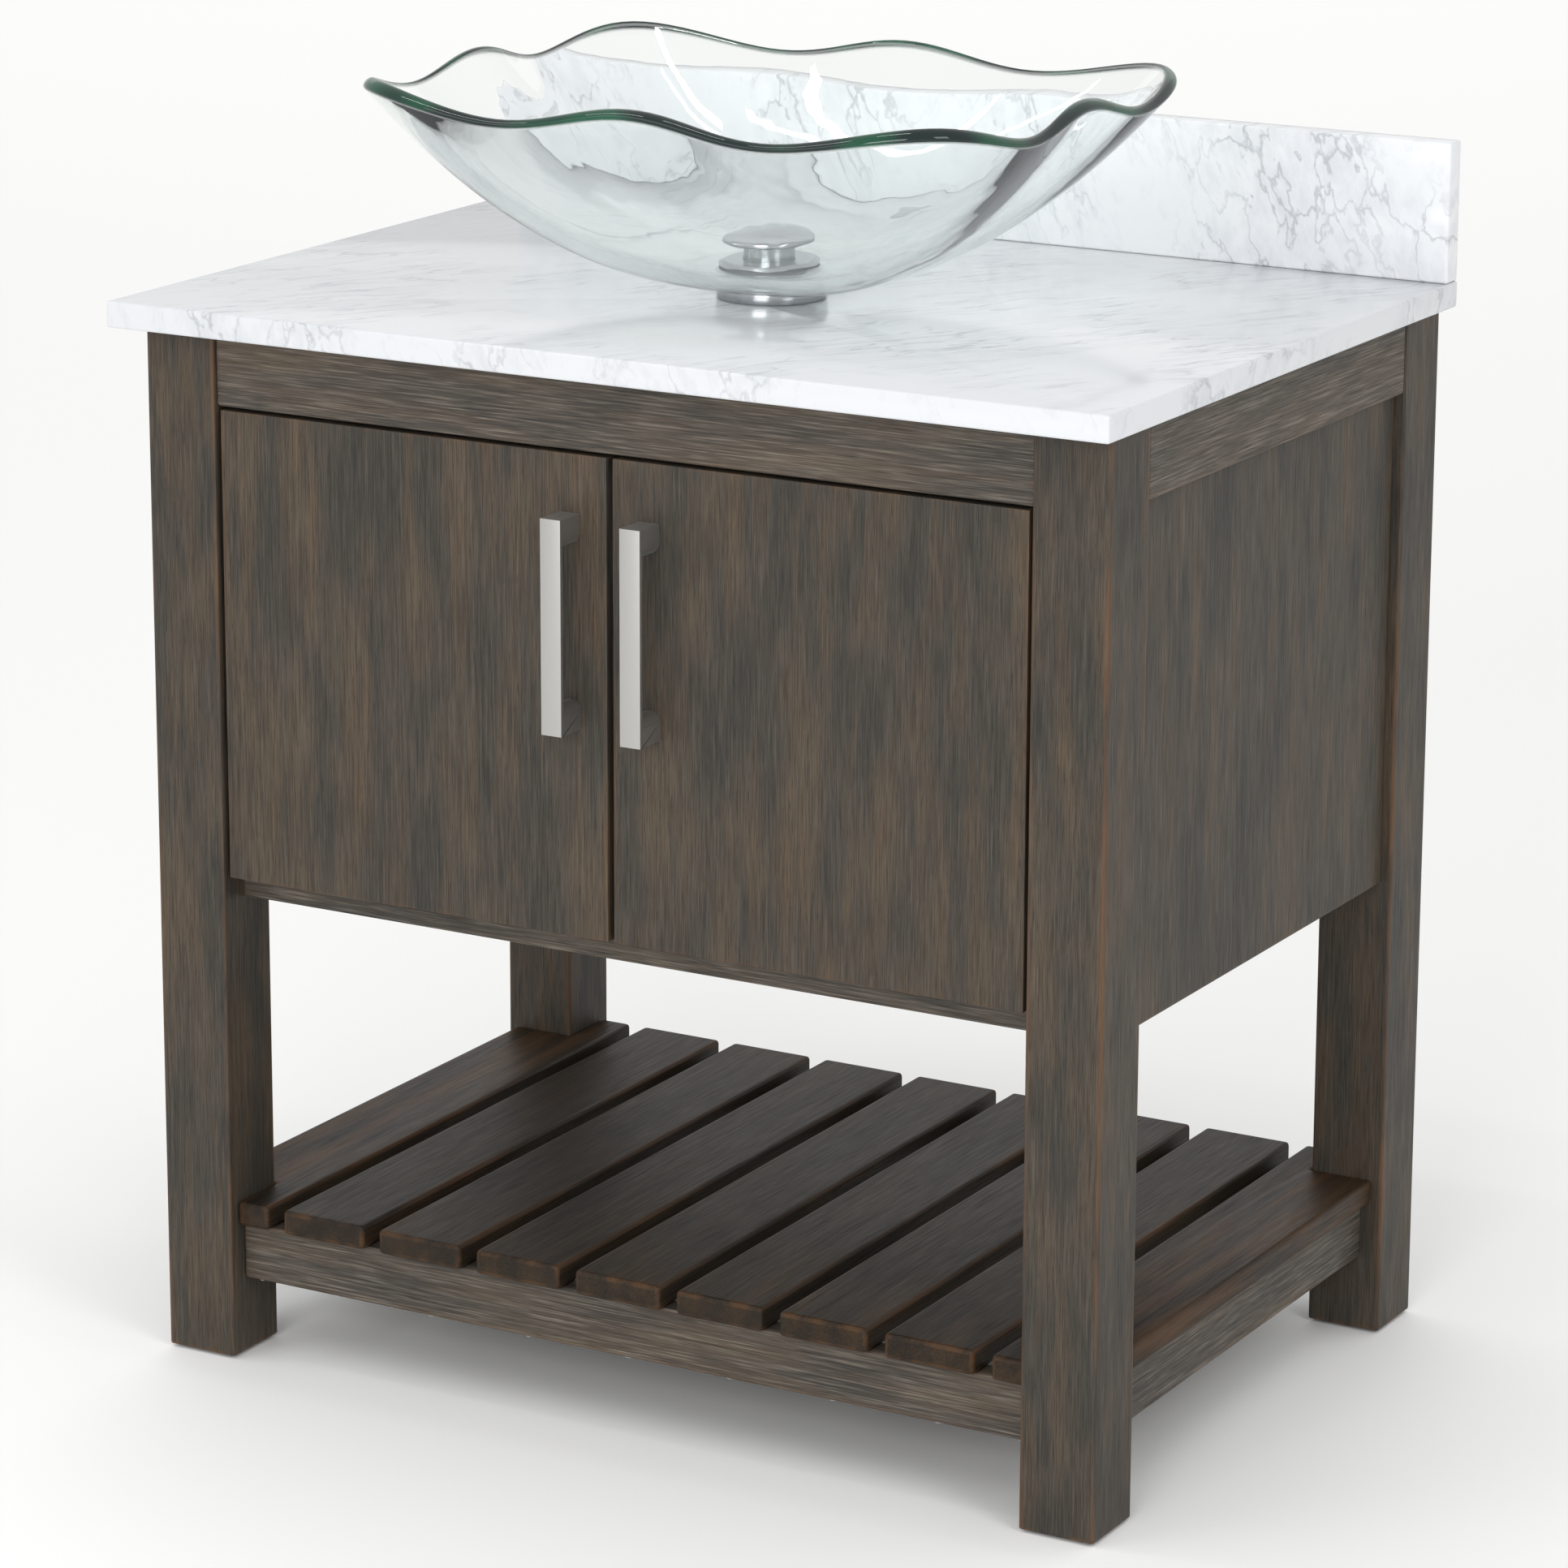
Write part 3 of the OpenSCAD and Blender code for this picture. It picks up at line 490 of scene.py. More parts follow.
class Workbench:
    """Primitives, selections, edits and modifiers, used the way a modeller uses them by hand."""

    sharp_angle = math.radians(35)
    weld_reach = 0.01 * MM
    facets = 3

    @staticmethod
    def clear() -> None:
        """Leaves edit mode and deselects everything."""
        if bpy.context.mode != "OBJECT":
            bpy.ops.object.mode_set(mode="OBJECT")
        bpy.ops.object.select_all(action="DESELECT")

    @staticmethod
    def settle(name: str) -> bpy.types.Object:
        """Names the new primitive and puts its place and size in its mesh.

        Args:
            name: the piece's name.

        Returns:
            The active object, at the origin.
        """
        bpy.ops.object.transform_apply(location=True, rotation=True, scale=True)
        piece = bpy.context.object
        piece.name = name
        piece.data.name = name
        return piece

    @classmethod
    def block(cls, name: str, low: Vector, high: Vector) -> bpy.types.Object:
        """Adds a cuboid between two corners.

        Args:
            name: the piece's name.
            low: its lowest corner.
            high: its highest corner.

        Returns:
            The cuboid.
        """
        cls.clear()
        bpy.ops.mesh.primitive_cube_add(size=1, location=(low + high) / 2, scale=high - low)
        return cls.settle(name)

    @classmethod
    def rod(cls, name: str, centre: Vector, radius: float, length: float, axis: Axis,
            sides: int = 48) -> bpy.types.Object:
        """Adds a cylinder.

        Args:
            name: the piece's name.
            centre: its middle.
            radius: its radius.
            length: its length.
            axis: the direction that it lies along.
            sides: how many sides it has.

        Returns:
            The cylinder.
        """
        cls.clear()
        turn = {Axis.X: (0, math.pi / 2, 0), Axis.Y: (math.pi / 2, 0, 0), Axis.Z: (0, 0, 0)}[axis]
        bpy.ops.mesh.primitive_cylinder_add(vertices=sides, radius=radius, depth=length,
                                            location=centre, rotation=turn)
        return cls.settle(name)

    @classmethod
    def modify(cls, piece: bpy.types.Object, kind: str, **settings: Any) -> None:
        """Adds a modifier and applies it.

        Args:
            piece: the object.
            kind: the modifier's type.
            settings: its properties.
        """
        cls.clear()
        piece.select_set(True)
        bpy.context.view_layer.objects.active = piece
        modifier = piece.modifiers.new(kind.lower(), kind)
        for key, value in settings.items():
            setattr(modifier, key, value)
        bpy.ops.object.modifier_apply(modifier=modifier.name)

    @classmethod
    def combine(cls, piece: bpy.types.Object, tool: bpy.types.Object, operation: str) -> None:
        """Cuts a tool out of a piece or adds it to it, and removes the tool.

        Args:
            piece: the object that stays.
            tool: the object that is used up.
            operation: DIFFERENCE or UNION.
        """
        cls.modify(piece, "BOOLEAN", object=tool, operation=operation, solver="EXACT")
        bpy.data.objects.remove(tool, do_unlink=True)

    @classmethod
    def open(cls, piece: bpy.types.Object, kind: str = "EDGE") -> bmesh.types.BMesh:
        """Enters edit mode on a piece with nothing selected.

        Args:
            piece: the object.
            kind: VERT, EDGE or FACE.

        Returns:
            Its edit mesh.
        """
        cls.clear()
        piece.select_set(True)
        bpy.context.view_layer.objects.active = piece
        bpy.ops.object.mode_set(mode="EDIT")
        bpy.ops.mesh.select_mode(type=kind)
        bpy.ops.mesh.select_all(action="DESELECT")
        return bmesh.from_edit_mesh(piece.data)

    @classmethod
    def ease(cls, piece: bpy.types.Object, width: float,
             test: Callable[[Any], bool] = lambda edge: True) -> None:
        """Rounds the sharp edges of a piece.

        Args:
            piece: the object.
            width: how far the rounding reaches on each face.
            test: says whether an edge is wanted.
        """
        mesh = cls.open(piece)
        wanted = [edge for edge in mesh.edges if len(edge.link_faces) == 2
                  and edge.calc_face_angle(0) > cls.sharp_angle and test(edge)]
        for edge in wanted:
            edge.select_set(True)
        bmesh.update_edit_mesh(piece.data)
        if wanted:
            bpy.ops.mesh.bevel(
                offset=width, segments=cls.facets, affect="EDGES", clamp_overlap=True)
        cls.clear()

    @staticmethod
    def weld(hole_sides: int = 0) -> None:
        """Joins the doubled points of the open piece and turns its faces outwards.

        Args:
            hole_sides: fills the holes that have up to this many sides.
        """
        bpy.ops.mesh.select_all(action="SELECT")
        bpy.ops.mesh.remove_doubles(threshold=Workbench.weld_reach)
        if hole_sides:
            bpy.ops.mesh.fill_holes(sides=hole_sides)
        bpy.ops.mesh.normals_make_consistent(inside=False)

    @classmethod
    def smooth(cls, piece: bpy.types.Object, degrees: float) -> None:
        """Shades a piece smooth except over sharper angles.

        Args:
            piece: the object.
            degrees: the angle.
        """
        cls.clear()
        piece.select_set(True)
        bpy.context.view_layer.objects.active = piece
        bpy.ops.object.shade_smooth_by_angle(angle=math.radians(degrees))

    @classmethod
    def slice(cls, piece: bpy.types.Object, axis: Axis, places: Iterable[float]) -> None:
        """Cuts edge loops into a piece across an axis, and keeps both sides.

        Args:
            piece: the object.
            axis: the direction that the cuts are square to.
            places: where each cut is, along the axis.
        """
        normal = Vector((0, 0, 0))
        normal[axis.value] = 1
        for place in places:
            cls.open(piece)
            bpy.ops.mesh.select_all(action="SELECT")
            bpy.ops.mesh.bisect(plane_co=normal * place, plane_no=normal)
        cls.clear()

    @classmethod
    def turn(cls, name: str, centre: Vector, outline: list[tuple[float, float]], ease: float,
             closed: bool = True) -> bpy.types.Object:
        """Turns an outline round an upright axis, as on a lathe.

        Args:
            name: the piece's name.
            centre: a point of the axis; heights are counted from it.
            outline: radius and height of each corner.
            ease: the rounding of the outline's corners.
            closed: whether the outline's last corner joins its first.

        Returns:
            The turned piece.
        """
        cls.clear()
        bpy.ops.mesh.primitive_plane_add(size=1, location=centre)
        piece = cls.settle(name)
        cls.open(piece, "VERT")
        corners = [centre + Vector((r, 0, z)) for r, z in outline]
        bpy.ops.mesh.select_all(action="SELECT")
        bpy.ops.mesh.merge(type="CENTER")
        bpy.ops.transform.translate(value=corners[0] - centre)
        for before, after in zip(corners, corners[1:]):
            bpy.ops.mesh.extrude_vertices_move(TRANSFORM_OT_translate={"value": after - before})
        if closed:
            mesh = bmesh.from_edit_mesh(piece.data)
            for vertex in mesh.verts:
                if len(vertex.link_edges) == 1:
                    vertex.select_set(True)
            bmesh.update_edit_mesh(piece.data)
            bpy.ops.mesh.edge_face_add()
        bpy.ops.mesh.select_all(action="SELECT")
        if ease:
            bpy.ops.mesh.bevel(offset=ease, segments=cls.facets, affect="VERTICES")
        bpy.ops.mesh.select_all(action="SELECT")
        bpy.ops.mesh.spin(steps=96, angle=2 * math.pi, center=centre, axis=(0, 0, 1))
        cls.weld()
        cls.smooth(piece, 30)
        return piece


def give_attribute(piece: bpy.types.Object, name: str, values: list[float]) -> None:
    """Stores a number at each point of a piece.

    Args:
        piece: the object.
        name: the attribute's name.
        values: one number for each point.
    """
    layer = piece.data.attributes.new(name, "FLOAT", "POINT")
    layer.data.foreach_set("value", values)


def dress(piece: bpy.types.Object, paint: bpy.types.Material, node: str,
          body: Body = Body.CABINET) -> None:
    """Paints a finished piece, lets it ride on its body and hides what it stands for.

    Args:
        piece: the object.
        paint: its material.
        node: the CAD node that it replaces.
        body: the body that it moves with.
    """
    piece.data.materials.clear()
    piece.data.materials.append(paint)
    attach(piece, body.value)
    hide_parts(node)
    LOG.info("%s: %d faces, on %s", piece.name, len(piece.data.polygons), body.value)


def paint_nodes(paint: bpy.types.Material, *names: str) -> None:
    """Gives CAD nodes that stay a better material.

    Args:
        paint: the material.
        names: the nodes' names.
    """
    for name in names:
        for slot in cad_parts[name].material_slots:
            slot.material = paint
        LOG.info("%s keeps its shape, painted %s", name, paint.name)


class Timber:
    """Sawn and brushed boards with rounded, rubbed edges."""

    rub_reach = 3.2 * MM
    ease_width = 2.2 * MM

    def __init__(self) -> None:
        """Starts the count that gives every board its own figure."""
        self.made = 0

    def shape(self, piece: bpy.types.Object, outer: tuple[Vector, Vector], ease: float) -> None:
        """Rounds the edges of a sawn board and records where they are rubbed.

        Args:
            piece: the sawn board.
            outer: its lowest and highest corner.
            ease: the rounding.
        """
        low, high = outer
        for axis in Axis:
            span = high[axis.value] - low[axis.value]
            if span > 3 * self.rub_reach:
                Workbench.slice(piece, axis, (low[axis.value] + self.rub_reach,
                                              high[axis.value] - self.rub_reach))
        Workbench.ease(piece, ease)
        rubbed = set()
        for face in piece.data.polygons:
            if max(abs(n) for n in face.normal) < 0.999:
                rubbed.update(face.vertices)
        count = len(piece.data.vertices)
        give_attribute(piece, "wear", [1.0 if i in rubbed else 0.0 for i in range(count)])
        self.made += 1
        give_attribute(piece, "board", [self.made * 0.618 % 1] * count)
        Workbench.smooth(piece, 30)

    def board(self, node: str, paint: bpy.types.Material, ease: float | None = None,
              cuts: Iterable[tuple[Vector, Vector]] = (), rods: Iterable[bpy.types.Object] = (),
              body: Body = Body.CABINET) -> None:
        """Makes a board that fills a CAD node's box.

        Args:
            node: the CAD node that it replaces.
            paint: its material.
            ease: the rounding of its edges.
            cuts: boxes that are sawn out of it.
            rods: cylinders that are drilled out of it.
            body: the body that it moves with.
        """
        low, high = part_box(node)
        piece = Workbench.block(f"{node}_oak", low, high)
        for number, (near, far) in enumerate(cuts):
            tool = Workbench.block(f"saw_{number}", near, far)
            Workbench.combine(piece, tool, "DIFFERENCE")
        for tool in rods:
            Workbench.combine(piece, tool, "DIFFERENCE")
        self.shape(piece, (low, high), ease or self.ease_width)
        dress(piece, paint, node, body)


@dataclass
class OakFrame:
    """Legs, rails, side panels and the inner boards."""

    timber: Timber
    paints: Paints

    def build(self) -> None:
        """Builds the frame and paints the inner boards."""
        for side in ("left", "right"):
            for end in ("front", "back"):
                self.timber.board(f"leg_{end}_{side}", self.paints.leg, ease=1.8 * MM)
            self.timber.board(f"side_top_rail_{side}", self.paints.rail[Axis.Y])
            self.timber.board(f"side_panel_{side}", self.paints.oak)
            self.timber.board(f"side_shelf_rail_{side}", self.paints.rail[Axis.Y])
        for node in ("front_top_rail", "back_top_rail", "front_shelf_rail", "back_shelf_rail"):
            self.timber.board(node, self.paints.rail[Axis.X])
        paint_nodes(self.paints.rail[Axis.X], "cabinet_floor")
        paint_nodes(self.paints.board, "back_panel", "door_stop")


@dataclass
class SlattedShelf:
    """Nine slats with round corners; the outer two are notched round the legs."""

    timber: Timber
    paints: Paints
    count: int = 9
    notch_gap: float = 0.6 * MM
    ease_width: float = 3.0 * MM

    def notches(self, side: str) -> list[tuple[Vector, Vector]]:
        """Finds the two boxes that an outer slat loses to its legs.

        Args:
            side: left or right.

        Returns:
            The boxes' corners.
        """
        boxes = []
        low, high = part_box("shelf_slat_1")
        for end in ("front", "back"):
            near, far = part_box(f"leg_{end}_{side}")
            gap = Vector((self.notch_gap, self.notch_gap, 0))
            near, far = near - gap, far + gap
            near.z, far.z = low.z - self.notch_gap, high.z + self.notch_gap
            boxes.append((near, far))
        return boxes

    def build(self) -> None:
        """Builds the slats."""
        notched = {1: "left", self.count: "right"}
        for number in range(1, self.count + 1):
            cuts = self.notches(notched[number]) if number in notched else ()
            # The slats take the oak painted darker, as painted shade under the cabinet
            self.timber.board(f"shelf_slat_{number}", self.paints.slat, self.ease_width, cuts)


@dataclass
class CabinetDoor:
    """A flush door with its hinge cups' bores and its bar handle."""

    side: str
    timber: Timber
    paints: Paints
    cup_radius: float = 17.5 * MM
    cup_inset: float = 29 * MM
    cup_clearance: float = 0.05 * MM
    bar_ease: float = 0.7 * MM
    bar_thickness: float = 3 * MM
    post_height: float = 21 * MM

    @property
    def body(self) -> Body:
        """The body that the door's pieces ride on."""
        return Body.LEFT_DOOR if self.side == "left" else Body.RIGHT_DOOR

    def cup_bores(self) -> list[bpy.types.Object]:
        """Returns the two cylinders that are drilled for the hinge cups."""
        low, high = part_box(f"hinge_cups_{self.side}")
        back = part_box(f"door_{self.side}")[1].y
        across = low.x + self.cup_radius if self.side == "left" else high.x - self.cup_radius
        return [Workbench.rod("cup_bore", Vector((across, back, z)),
                              self.cup_radius + self.cup_clearance, 2 * (back - low.y), Axis.Y)
                for z in (low.z + self.cup_inset, high.z - self.cup_inset)]

    def handle(self) -> None:
        """Builds the handle: a flat bar on two posts whose inner sides are round."""
        node = f"handle_{self.side}"
        low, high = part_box(node)
        bar = Workbench.block(f"{node}_bar", low,
                              Vector((high.x, low.y + self.bar_thickness, high.z)))
        half = (high.x - low.x) / 2
        reach = self.post_height - half
        depth = high.y - low.y - self.bar_thickness / 2
        for up in (False, True):
            base = high.z - reach if up else low.z
            post = Workbench.block("post", Vector((low.x, high.y - depth, base)),
                                   Vector((high.x, high.y, base + reach)))
            inner = base if up else base + reach
            round_side = Workbench.rod("round", Vector((low.x + half, high.y - depth / 2, inner)),
                                       half, depth, Axis.Y)
            Workbench.combine(post, round_side, "UNION")
            Workbench.combine(bar, post, "UNION")
        Workbench.ease(bar, self.bar_ease)
        Workbench.smooth(bar, 35)
        dress(bar, self.paints.nickel, node, self.body)

    def build(self) -> None:
        """Builds the door and what moves with it."""
        self.timber.board(f"door_{self.side}", self.paints.oak, rods=self.cup_bores(),
                          body=self.body)
        self.handle()
        zinc, hinge = self.paints.zinc, self.paints.hinge
        for part, paint in (("handle_screws", zinc), ("door_bumper", self.paints.bumper),
                            ("hinge_cups", hinge), ("cup_screws", zinc),
                            ("hinge_arms", hinge), ("plate_screws", zinc)):
            paint_nodes(paint, f"{part}_{self.side}")


@dataclass
class MarbleTop:
    """The slab with its two drilled holes, and the backsplash."""

    paints: Paints
    drain_radius: float = 22.5 * MM
    faucet_radius: float = 17.5 * MM
    faucet_back: float = 50 * MM
    ease_width: float = 1.8 * MM
    hole_ease: float = 0.8 * MM
    hole_sides: int = 96
    hole_tolerance: float = 0.1 * MM

    def build(self) -> None:
        """Builds the two marble pieces."""
        low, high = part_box("countertop")
        slab = Workbench.block("countertop_marble", low, high)
        drain_low, drain_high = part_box("drain_body")
        splash_low, splash_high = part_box("backsplash")
        middle = (low.z + high.z) / 2
        depth = 2 * (high.z - low.z)
        drain = Vector((0, (drain_low.y + drain_high.y) / 2, middle))
        faucet = Vector((0, splash_low.y - self.faucet_back, middle))
        Workbench.ease(slab, self.ease_width)
        for centre, radius in ((drain, self.drain_radius), (faucet, self.faucet_radius)):
            drill = Workbench.rod("drill", centre, radius, depth, Axis.Z, self.hole_sides)
            Workbench.combine(slab, drill, "DIFFERENCE")
            Workbench.ease(slab, self.hole_ease, test=lambda e, c=centre, r=radius: all(
                abs((v.co.xy - c.xy).length - r) < self.hole_tolerance for v in e.verts))
        Workbench.smooth(slab, 35)
        dress(slab, self.paints.marble, "countertop")
        splash = Workbench.block("backsplash_marble", splash_low, splash_high)
        Workbench.ease(splash, self.ease_width)
        Workbench.smooth(splash, 35)
        # The backsplash takes the marble painted lighter: painted light for its upright face in
        # the bowl's shadow
        dress(splash, self.paints.splash, "backsplash")


@dataclass
class GlassBowl:
    """The slumped bowl: a flat foot, a square-cornered mouth and a waved, fire-polished rim."""

    paints: Paints
    length: float = 502 * MM
    width: float = 402 * MM
    height: float = 142 * MM
    glass: float = 12 * MM
    foot: float = 36 * MM
    hole: float = 22.5 * MM
    squareness: float = 5.5
    steepening: float = 2.1
    wave: float = 6.5 * MM
    waves: int = 8
    around: int = 192
    climb: int = 40
    wave_growth: int = 4
    edge_steps: int = 12
    edge_height: float = 0.6
    rim_reach: float = 0.008
    edge_thinning: float = 0.24
    crest_share: float = 0.14
    thinning_growth: int = 8

    def wall(self, turn: float, rise: float) -> Vector:
        """Finds a point of the outer wall, from the foot's middle.

        Args:
            turn: the angle round the bowl.
            rise: 0 at the foot and 1 at the rim.

        Returns:
            The point.
        """
        c, s = math.cos(turn), math.sin(turn)
        push = (abs(c) ** self.squareness + abs(s) ** self.squareness) ** (-1 / self.squareness)
        push = 1 + (push - 1) * math.sqrt(max(rise, 0))
        x = self.foot * (1 - rise) + self.length / 2 * rise
        y = self.foot * (1 - rise) + self.width / 2 * rise
        z = (self.height - self.glass / 2) * max(rise, 0) ** self.steepening
        return Vector((x * push * c, y * push * s,
                       z + self.wave * math.cos(self.waves * turn) * rise ** self.wave_growth))

    def inward(self, turn: float, rise: float) -> Vector:
        """Finds the unit normal that points into the bowl.

        Args:
            turn: the angle round the bowl.
            rise: 0 at the foot and 1 at the rim.

        Returns:
            The normal.
        """
        step = math.radians(1)
        up = self.wall(turn, rise + 0.01) - self.wall(turn, rise)
        along = self.wall(turn + step, rise) - self.wall(turn - step, rise)
        return -along.cross(up).normalized()

    def thickness(self, turn: float, rise: float) -> float:
        """Finds how thick the glass is; it is drawn thinner towards the rim, most in the troughs.

        Args:
            turn: the angle round the bowl.
            rise: 0 at the foot and 1 at the rim.

        Returns:
            The thickness.
        """
        drawn = self.edge_thinning - self.crest_share * math.cos(self.waves * turn)
        return self.glass * (1 - drawn * rise ** self.thinning_growth)

    def edge(self, turn: float, angle: float) -> Vector:
        """Finds a point of the round edge.

        Args:
            turn: the angle round the bowl.
            angle: 0 at the outer wall and pi at the inner wall.

        Returns:
            The point.
        """
        up = (self.wall(turn, 1) - self.wall(turn, 0.99)).normalized()
        half = self.thickness(turn, 1) / 2
        return (self.wall(turn, 1) + self.inward(turn, 1) * half * (1 - math.cos(angle))
                + up * half * math.sin(angle) * self.edge_height)

    def rings(self) -> list[tuple[Callable[[float], Vector], float]]:
        """Lists the rings of the bowl, from the hole's lower edge round to it again.

        Returns:
            For each ring, its points by angle and how green it is.
        """
        rises = [step / self.climb for step in range(self.climb)] + [1 - self.rim_reach]
        angles = [math.pi * step / self.edge_steps for step in range(self.edge_steps + 1)]
        hole = self.hole
        return [
            *((lambda t, w=rise: self.wall(t, w), 0.0) for rise in rises),
            *((lambda t, a=angle: self.edge(t, a), 1.0) for angle in angles),
            *((lambda t, w=rise: self.wall(t, w) + self.inward(t, w) * self.thickness(t, w), 0.0)
              for rise in reversed(rises)),
            (lambda t: Vector((hole * math.cos(t), hole * math.sin(t), self.glass)), 0.0)]

    def build(self) -> None:
        """Builds the bowl, ring by ring, from the circle of its hole."""
        low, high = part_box("glass_bowl")
        centre = Vector((0, (low.y + high.y) / 2, low.z))
        Workbench.clear()
        bpy.ops.mesh.primitive_circle_add(vertices=self.around, radius=self.hole, location=centre)
        bowl = Workbench.settle("glass_bowl_slumped")
        mesh = Workbench.open(bowl, "VERT")
        turn = mesh.verts.layers.float.new("turn")
        rim = mesh.verts.layers.float.new("rim")
        for vertex in mesh.verts:
            place = vertex.co - centre
            vertex[turn] = math.atan2(place.y, place.x)
        bmesh.update_edit_mesh(bowl.data)
        bpy.ops.mesh.select_all(action="SELECT")
        for point, green in self.rings():
            bpy.ops.mesh.extrude_edges_move(TRANSFORM_OT_translate={"value": (0, 0, 0)})
            mesh = bmesh.from_edit_mesh(bowl.data)
            turn = mesh.verts.layers.float["turn"]
            rim = mesh.verts.layers.float["rim"]
            for vertex in mesh.verts:
                if vertex.select:
                    vertex.co = centre + point(vertex[turn])
                    vertex[rim] = green
            bmesh.update_edit_mesh(bowl.data)
        bpy.ops.mesh.extrude_edges_move(TRANSFORM_OT_translate={"value": (0, 0, -self.glass)})
        Workbench.weld()
        Workbench.smooth(bowl, 50)
        dress(bowl, self.paints.glass, "glass_bowl")


@dataclass
class Drain:
    """The mounting ring, the push-down cap and the return spring; the rest is only painted."""

    paints: Paints
    ring_bore: float = 25.5 * MM
    ring_ease: float = 1.2 * MM
    cap_rim: float = 2.5 * MM
    cap_dome: float = 3 * MM
    cap_chamfer: float = 0.6 * MM
    cap_web: float = 1 * MM
    neck_radius: float = 18.25 * MM
    neck_wall: float = 1.5 * MM
    neck_length: float = 33.5 * MM
    stem_radius: float = 4 * MM
    spring_wire: float = 1.4 * MM
    wire_sides: int = 10
    spring_turns: int = 5
    cap_travel: float = 13.5 * MM
    spring_slack: float = 0.1 * MM

    def spring(self) -> None:
        """Coils the return spring."""
        low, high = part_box("drain_spring")
        middle = (low + high) / 2
        height = high.z - low.z
        wire = self.spring_wire / 2
        Workbench.clear()
        bpy.ops.mesh.primitive_circle_add(
            vertices=self.wire_sides, radius=wire, rotation=(math.pi / 2, 0, 0),
            location=((high.x - low.x) / 2 - wire, 0, low.z + wire))
        spring = Workbench.settle("drain_spring_coil")
        pitch = (height - self.spring_wire - self.spring_slack) / self.spring_turns
        Workbench.modify(spring, "SCREW", angle=2 * math.pi, steps=32,
                         iterations=self.spring_turns, screw_offset=pitch)
        Workbench.open(spring, "VERT")
        Workbench.weld(self.wire_sides)
        bpy.ops.transform.translate(value=(middle.x, middle.y, 0))
        Workbench.smooth(spring, 60)
        dress(spring, self.paints.zinc, "drain_spring")
        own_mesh(spring)

    def build(self) -> None:
        """Builds the drain's pieces."""
        cap_low, cap_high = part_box("drain_cap")
        centre = (cap_low + cap_high) / 2
        centre.z = 0
        chrome = self.paints.chrome
        low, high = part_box("mounting_ring")
        outer = (high.x - low.x) / 2
        ring = Workbench.turn("mounting_ring_chrome", centre, [
            (self.ring_bore, low.z), (outer, low.z), (outer, high.z), (self.ring_bore, high.z)],
            self.ring_ease)
        dress(ring, chrome, "mounting_ring")

        outer = (cap_high.x - cap_low.x) / 2
        top = cap_high.z
        under = top - self.cap_dome - self.cap_rim
        dome = [(outer * math.cos(a), top - self.cap_dome + self.cap_dome * math.sin(a))
                for a in [math.radians(d) for d in range(0, 91, 6)]]
        dome[-1] = (0.0, top)
        neck_foot = under - self.neck_length
        inner = self.neck_radius - self.neck_wall
        web, foot = under - self.cap_web, cap_low.z
        outline = dome[::-1] + [
            (outer, under + self.cap_chamfer), (outer - self.cap_chamfer, under),
            (self.neck_radius, under), (self.neck_radius, neck_foot), (inner, neck_foot),
            (inner, web), (self.stem_radius, web), (self.stem_radius, foot), (0.0, foot)]
        cap = Workbench.turn("drain_cap_chrome", centre, outline, 0, closed=False)
        dress(cap, chrome, "drain_cap", Body.PLUG)

        paint_nodes(chrome, "drain_body", "tailpiece")
        paint_nodes(self.paints.brass, "drain_nut")
        self.spring()
        paint_nodes(self.paints.rubber, "ring_gasket", "flange_gasket", "counter_washer")


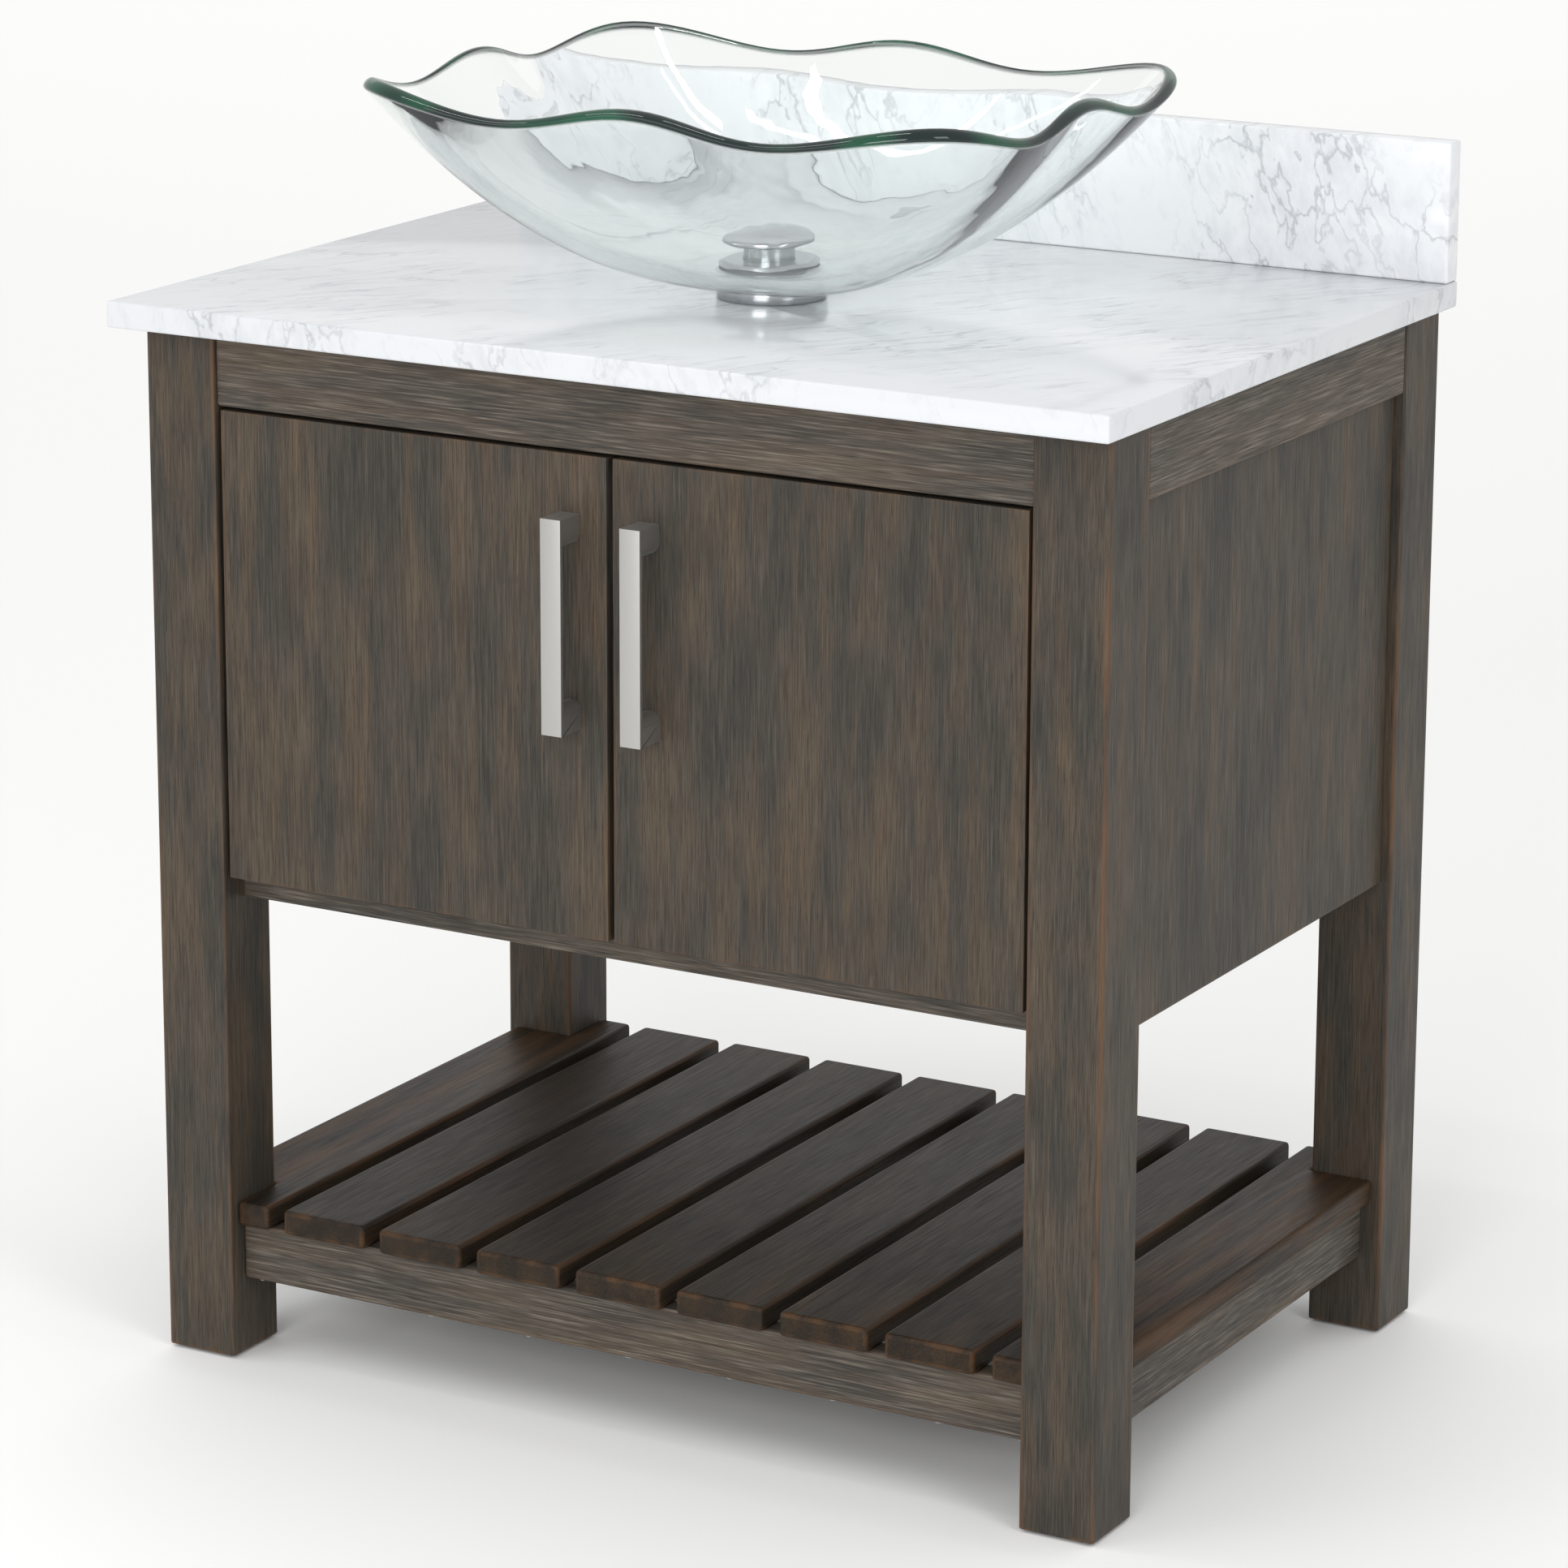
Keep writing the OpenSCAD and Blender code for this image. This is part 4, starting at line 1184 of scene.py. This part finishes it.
@dataclass
class Studio:
    """A plain pale floor, soft lights and the camera."""

    place: tuple[float, float, float] = (2.0049, -3.5284, 1.5320)
    turn: tuple[float, float, float] = (75.965, -0.181, 29.694)
    lens: float = 133.08
    shift_up: float = -0.080
    bounces: int = 24
    daylight: float = 0.85
    floor_size: float = 60
    floor_colour: str = "fafaf9"
    floor_roughness: float = 0.7

    def camera(self) -> None:
        """Adds the camera, in front and to the right, a little above the bowl."""
        data = bpy.data.cameras.new("camera")
        camera = bpy.data.objects.new("camera", data)
        bpy.context.scene.collection.objects.link(camera)
        camera.location = self.place
        camera.rotation_euler = [math.radians(angle) for angle in self.turn]
        data.sensor_width = 36
        data.lens = self.lens
        data.shift_y = self.shift_up
        data.clip_end = 100
        bpy.context.scene.camera = camera

    def floor(self) -> None:
        """Adds the floor."""
        Workbench.clear()
        bpy.ops.mesh.primitive_plane_add(size=self.floor_size, location=(0, 0, 0))
        floor = bpy.context.object
        floor.name = "floor"
        paint = bpy.data.materials.new("pale_floor")
        paint.use_nodes = True
        shader = paint.node_tree.nodes["Principled BSDF"]
        shader.inputs["Base Color"].default_value = linear(self.floor_colour)
        shader.inputs["Roughness"].default_value = self.floor_roughness
        floor.data.materials.append(paint)

    def light(self, name: str, place: tuple[float, float, float], size: tuple[float, float],
              power: float, aim: tuple[float, float, float] = (0, 0, 0.55)) -> None:
        """Adds a rectangular soft light.

        Args:
            name: the light's name.
            place: where it hangs.
            size: its two sides.
            power: its power in watts.
            aim: the point that it faces.
        """
        data = bpy.data.lights.new(name, "AREA")
        data.shape = "RECTANGLE"
        data.size, data.size_y = size
        data.energy = power
        lamp = bpy.data.objects.new(name, data)
        bpy.context.scene.collection.objects.link(lamp)
        lamp.location = place
        lamp.rotation_euler = (Vector(aim) - Vector(place)).to_track_quat("-Z", "Y").to_euler()

    def build(self) -> None:
        """Builds the studio."""
        self.camera()
        self.floor()
        self.light("key", (-1.4, -2.3, 2.3), (1.2, 1.2), 6)
        self.light("front", (0.8, -5.0, 2.0), (2.6, 2.0), 98)
        self.light("fill", (2.8, -1.4, 2.0), (1.0, 1.4), 18)
        self.light("tube_near", (-0.24, -0.27, 2.6), (0.60, 0.05), 2.2, aim=(-0.24, -0.26, 0))
        self.light("tube_far", (-1.15, -0.58, 2.6), (0.80, 0.06), 3.0, aim=(-1.15, -0.57, 0))
        self.light("backdrop", (-4.5, 8.0, 4.5), (9.0, 9.0), 85, aim=(-4.5, 8.0, 0))
        world = bpy.data.worlds.new("studio")
        world.use_nodes = True
        backdrop = world.node_tree.nodes["Background"]
        backdrop.inputs["Color"].default_value = (1, 1, 1, 1)
        backdrop.inputs["Strength"].default_value = self.daylight
        bpy.context.scene.world = world
        bpy.context.scene.view_settings.view_transform = "Standard"
        bpy.context.scene.cycles.max_bounces = self.bounces
        bpy.context.scene.cycles.transmission_bounces = self.bounces


def main() -> None:
    """Builds the vanity's sub-assemblies in order."""
    logging.basicConfig(level=logging.INFO, format="%(name)s: %(message)s")
    Studio().build()
    paints = Paints()
    timber = Timber()
    OakFrame(timber, paints).build()
    SlattedShelf(timber, paints).build()
    for side in ("left", "right"):
        CabinetDoor(side, timber, paints).build()
    MarbleTop(paints).build()
    GlassBowl(paints).build()
    Drain(paints).build()
    paint_nodes(paints.nylon, "leg_glides")
    paint_nodes(paints.zinc, "shelf_screws")


if __name__ == "__main__":
    main()
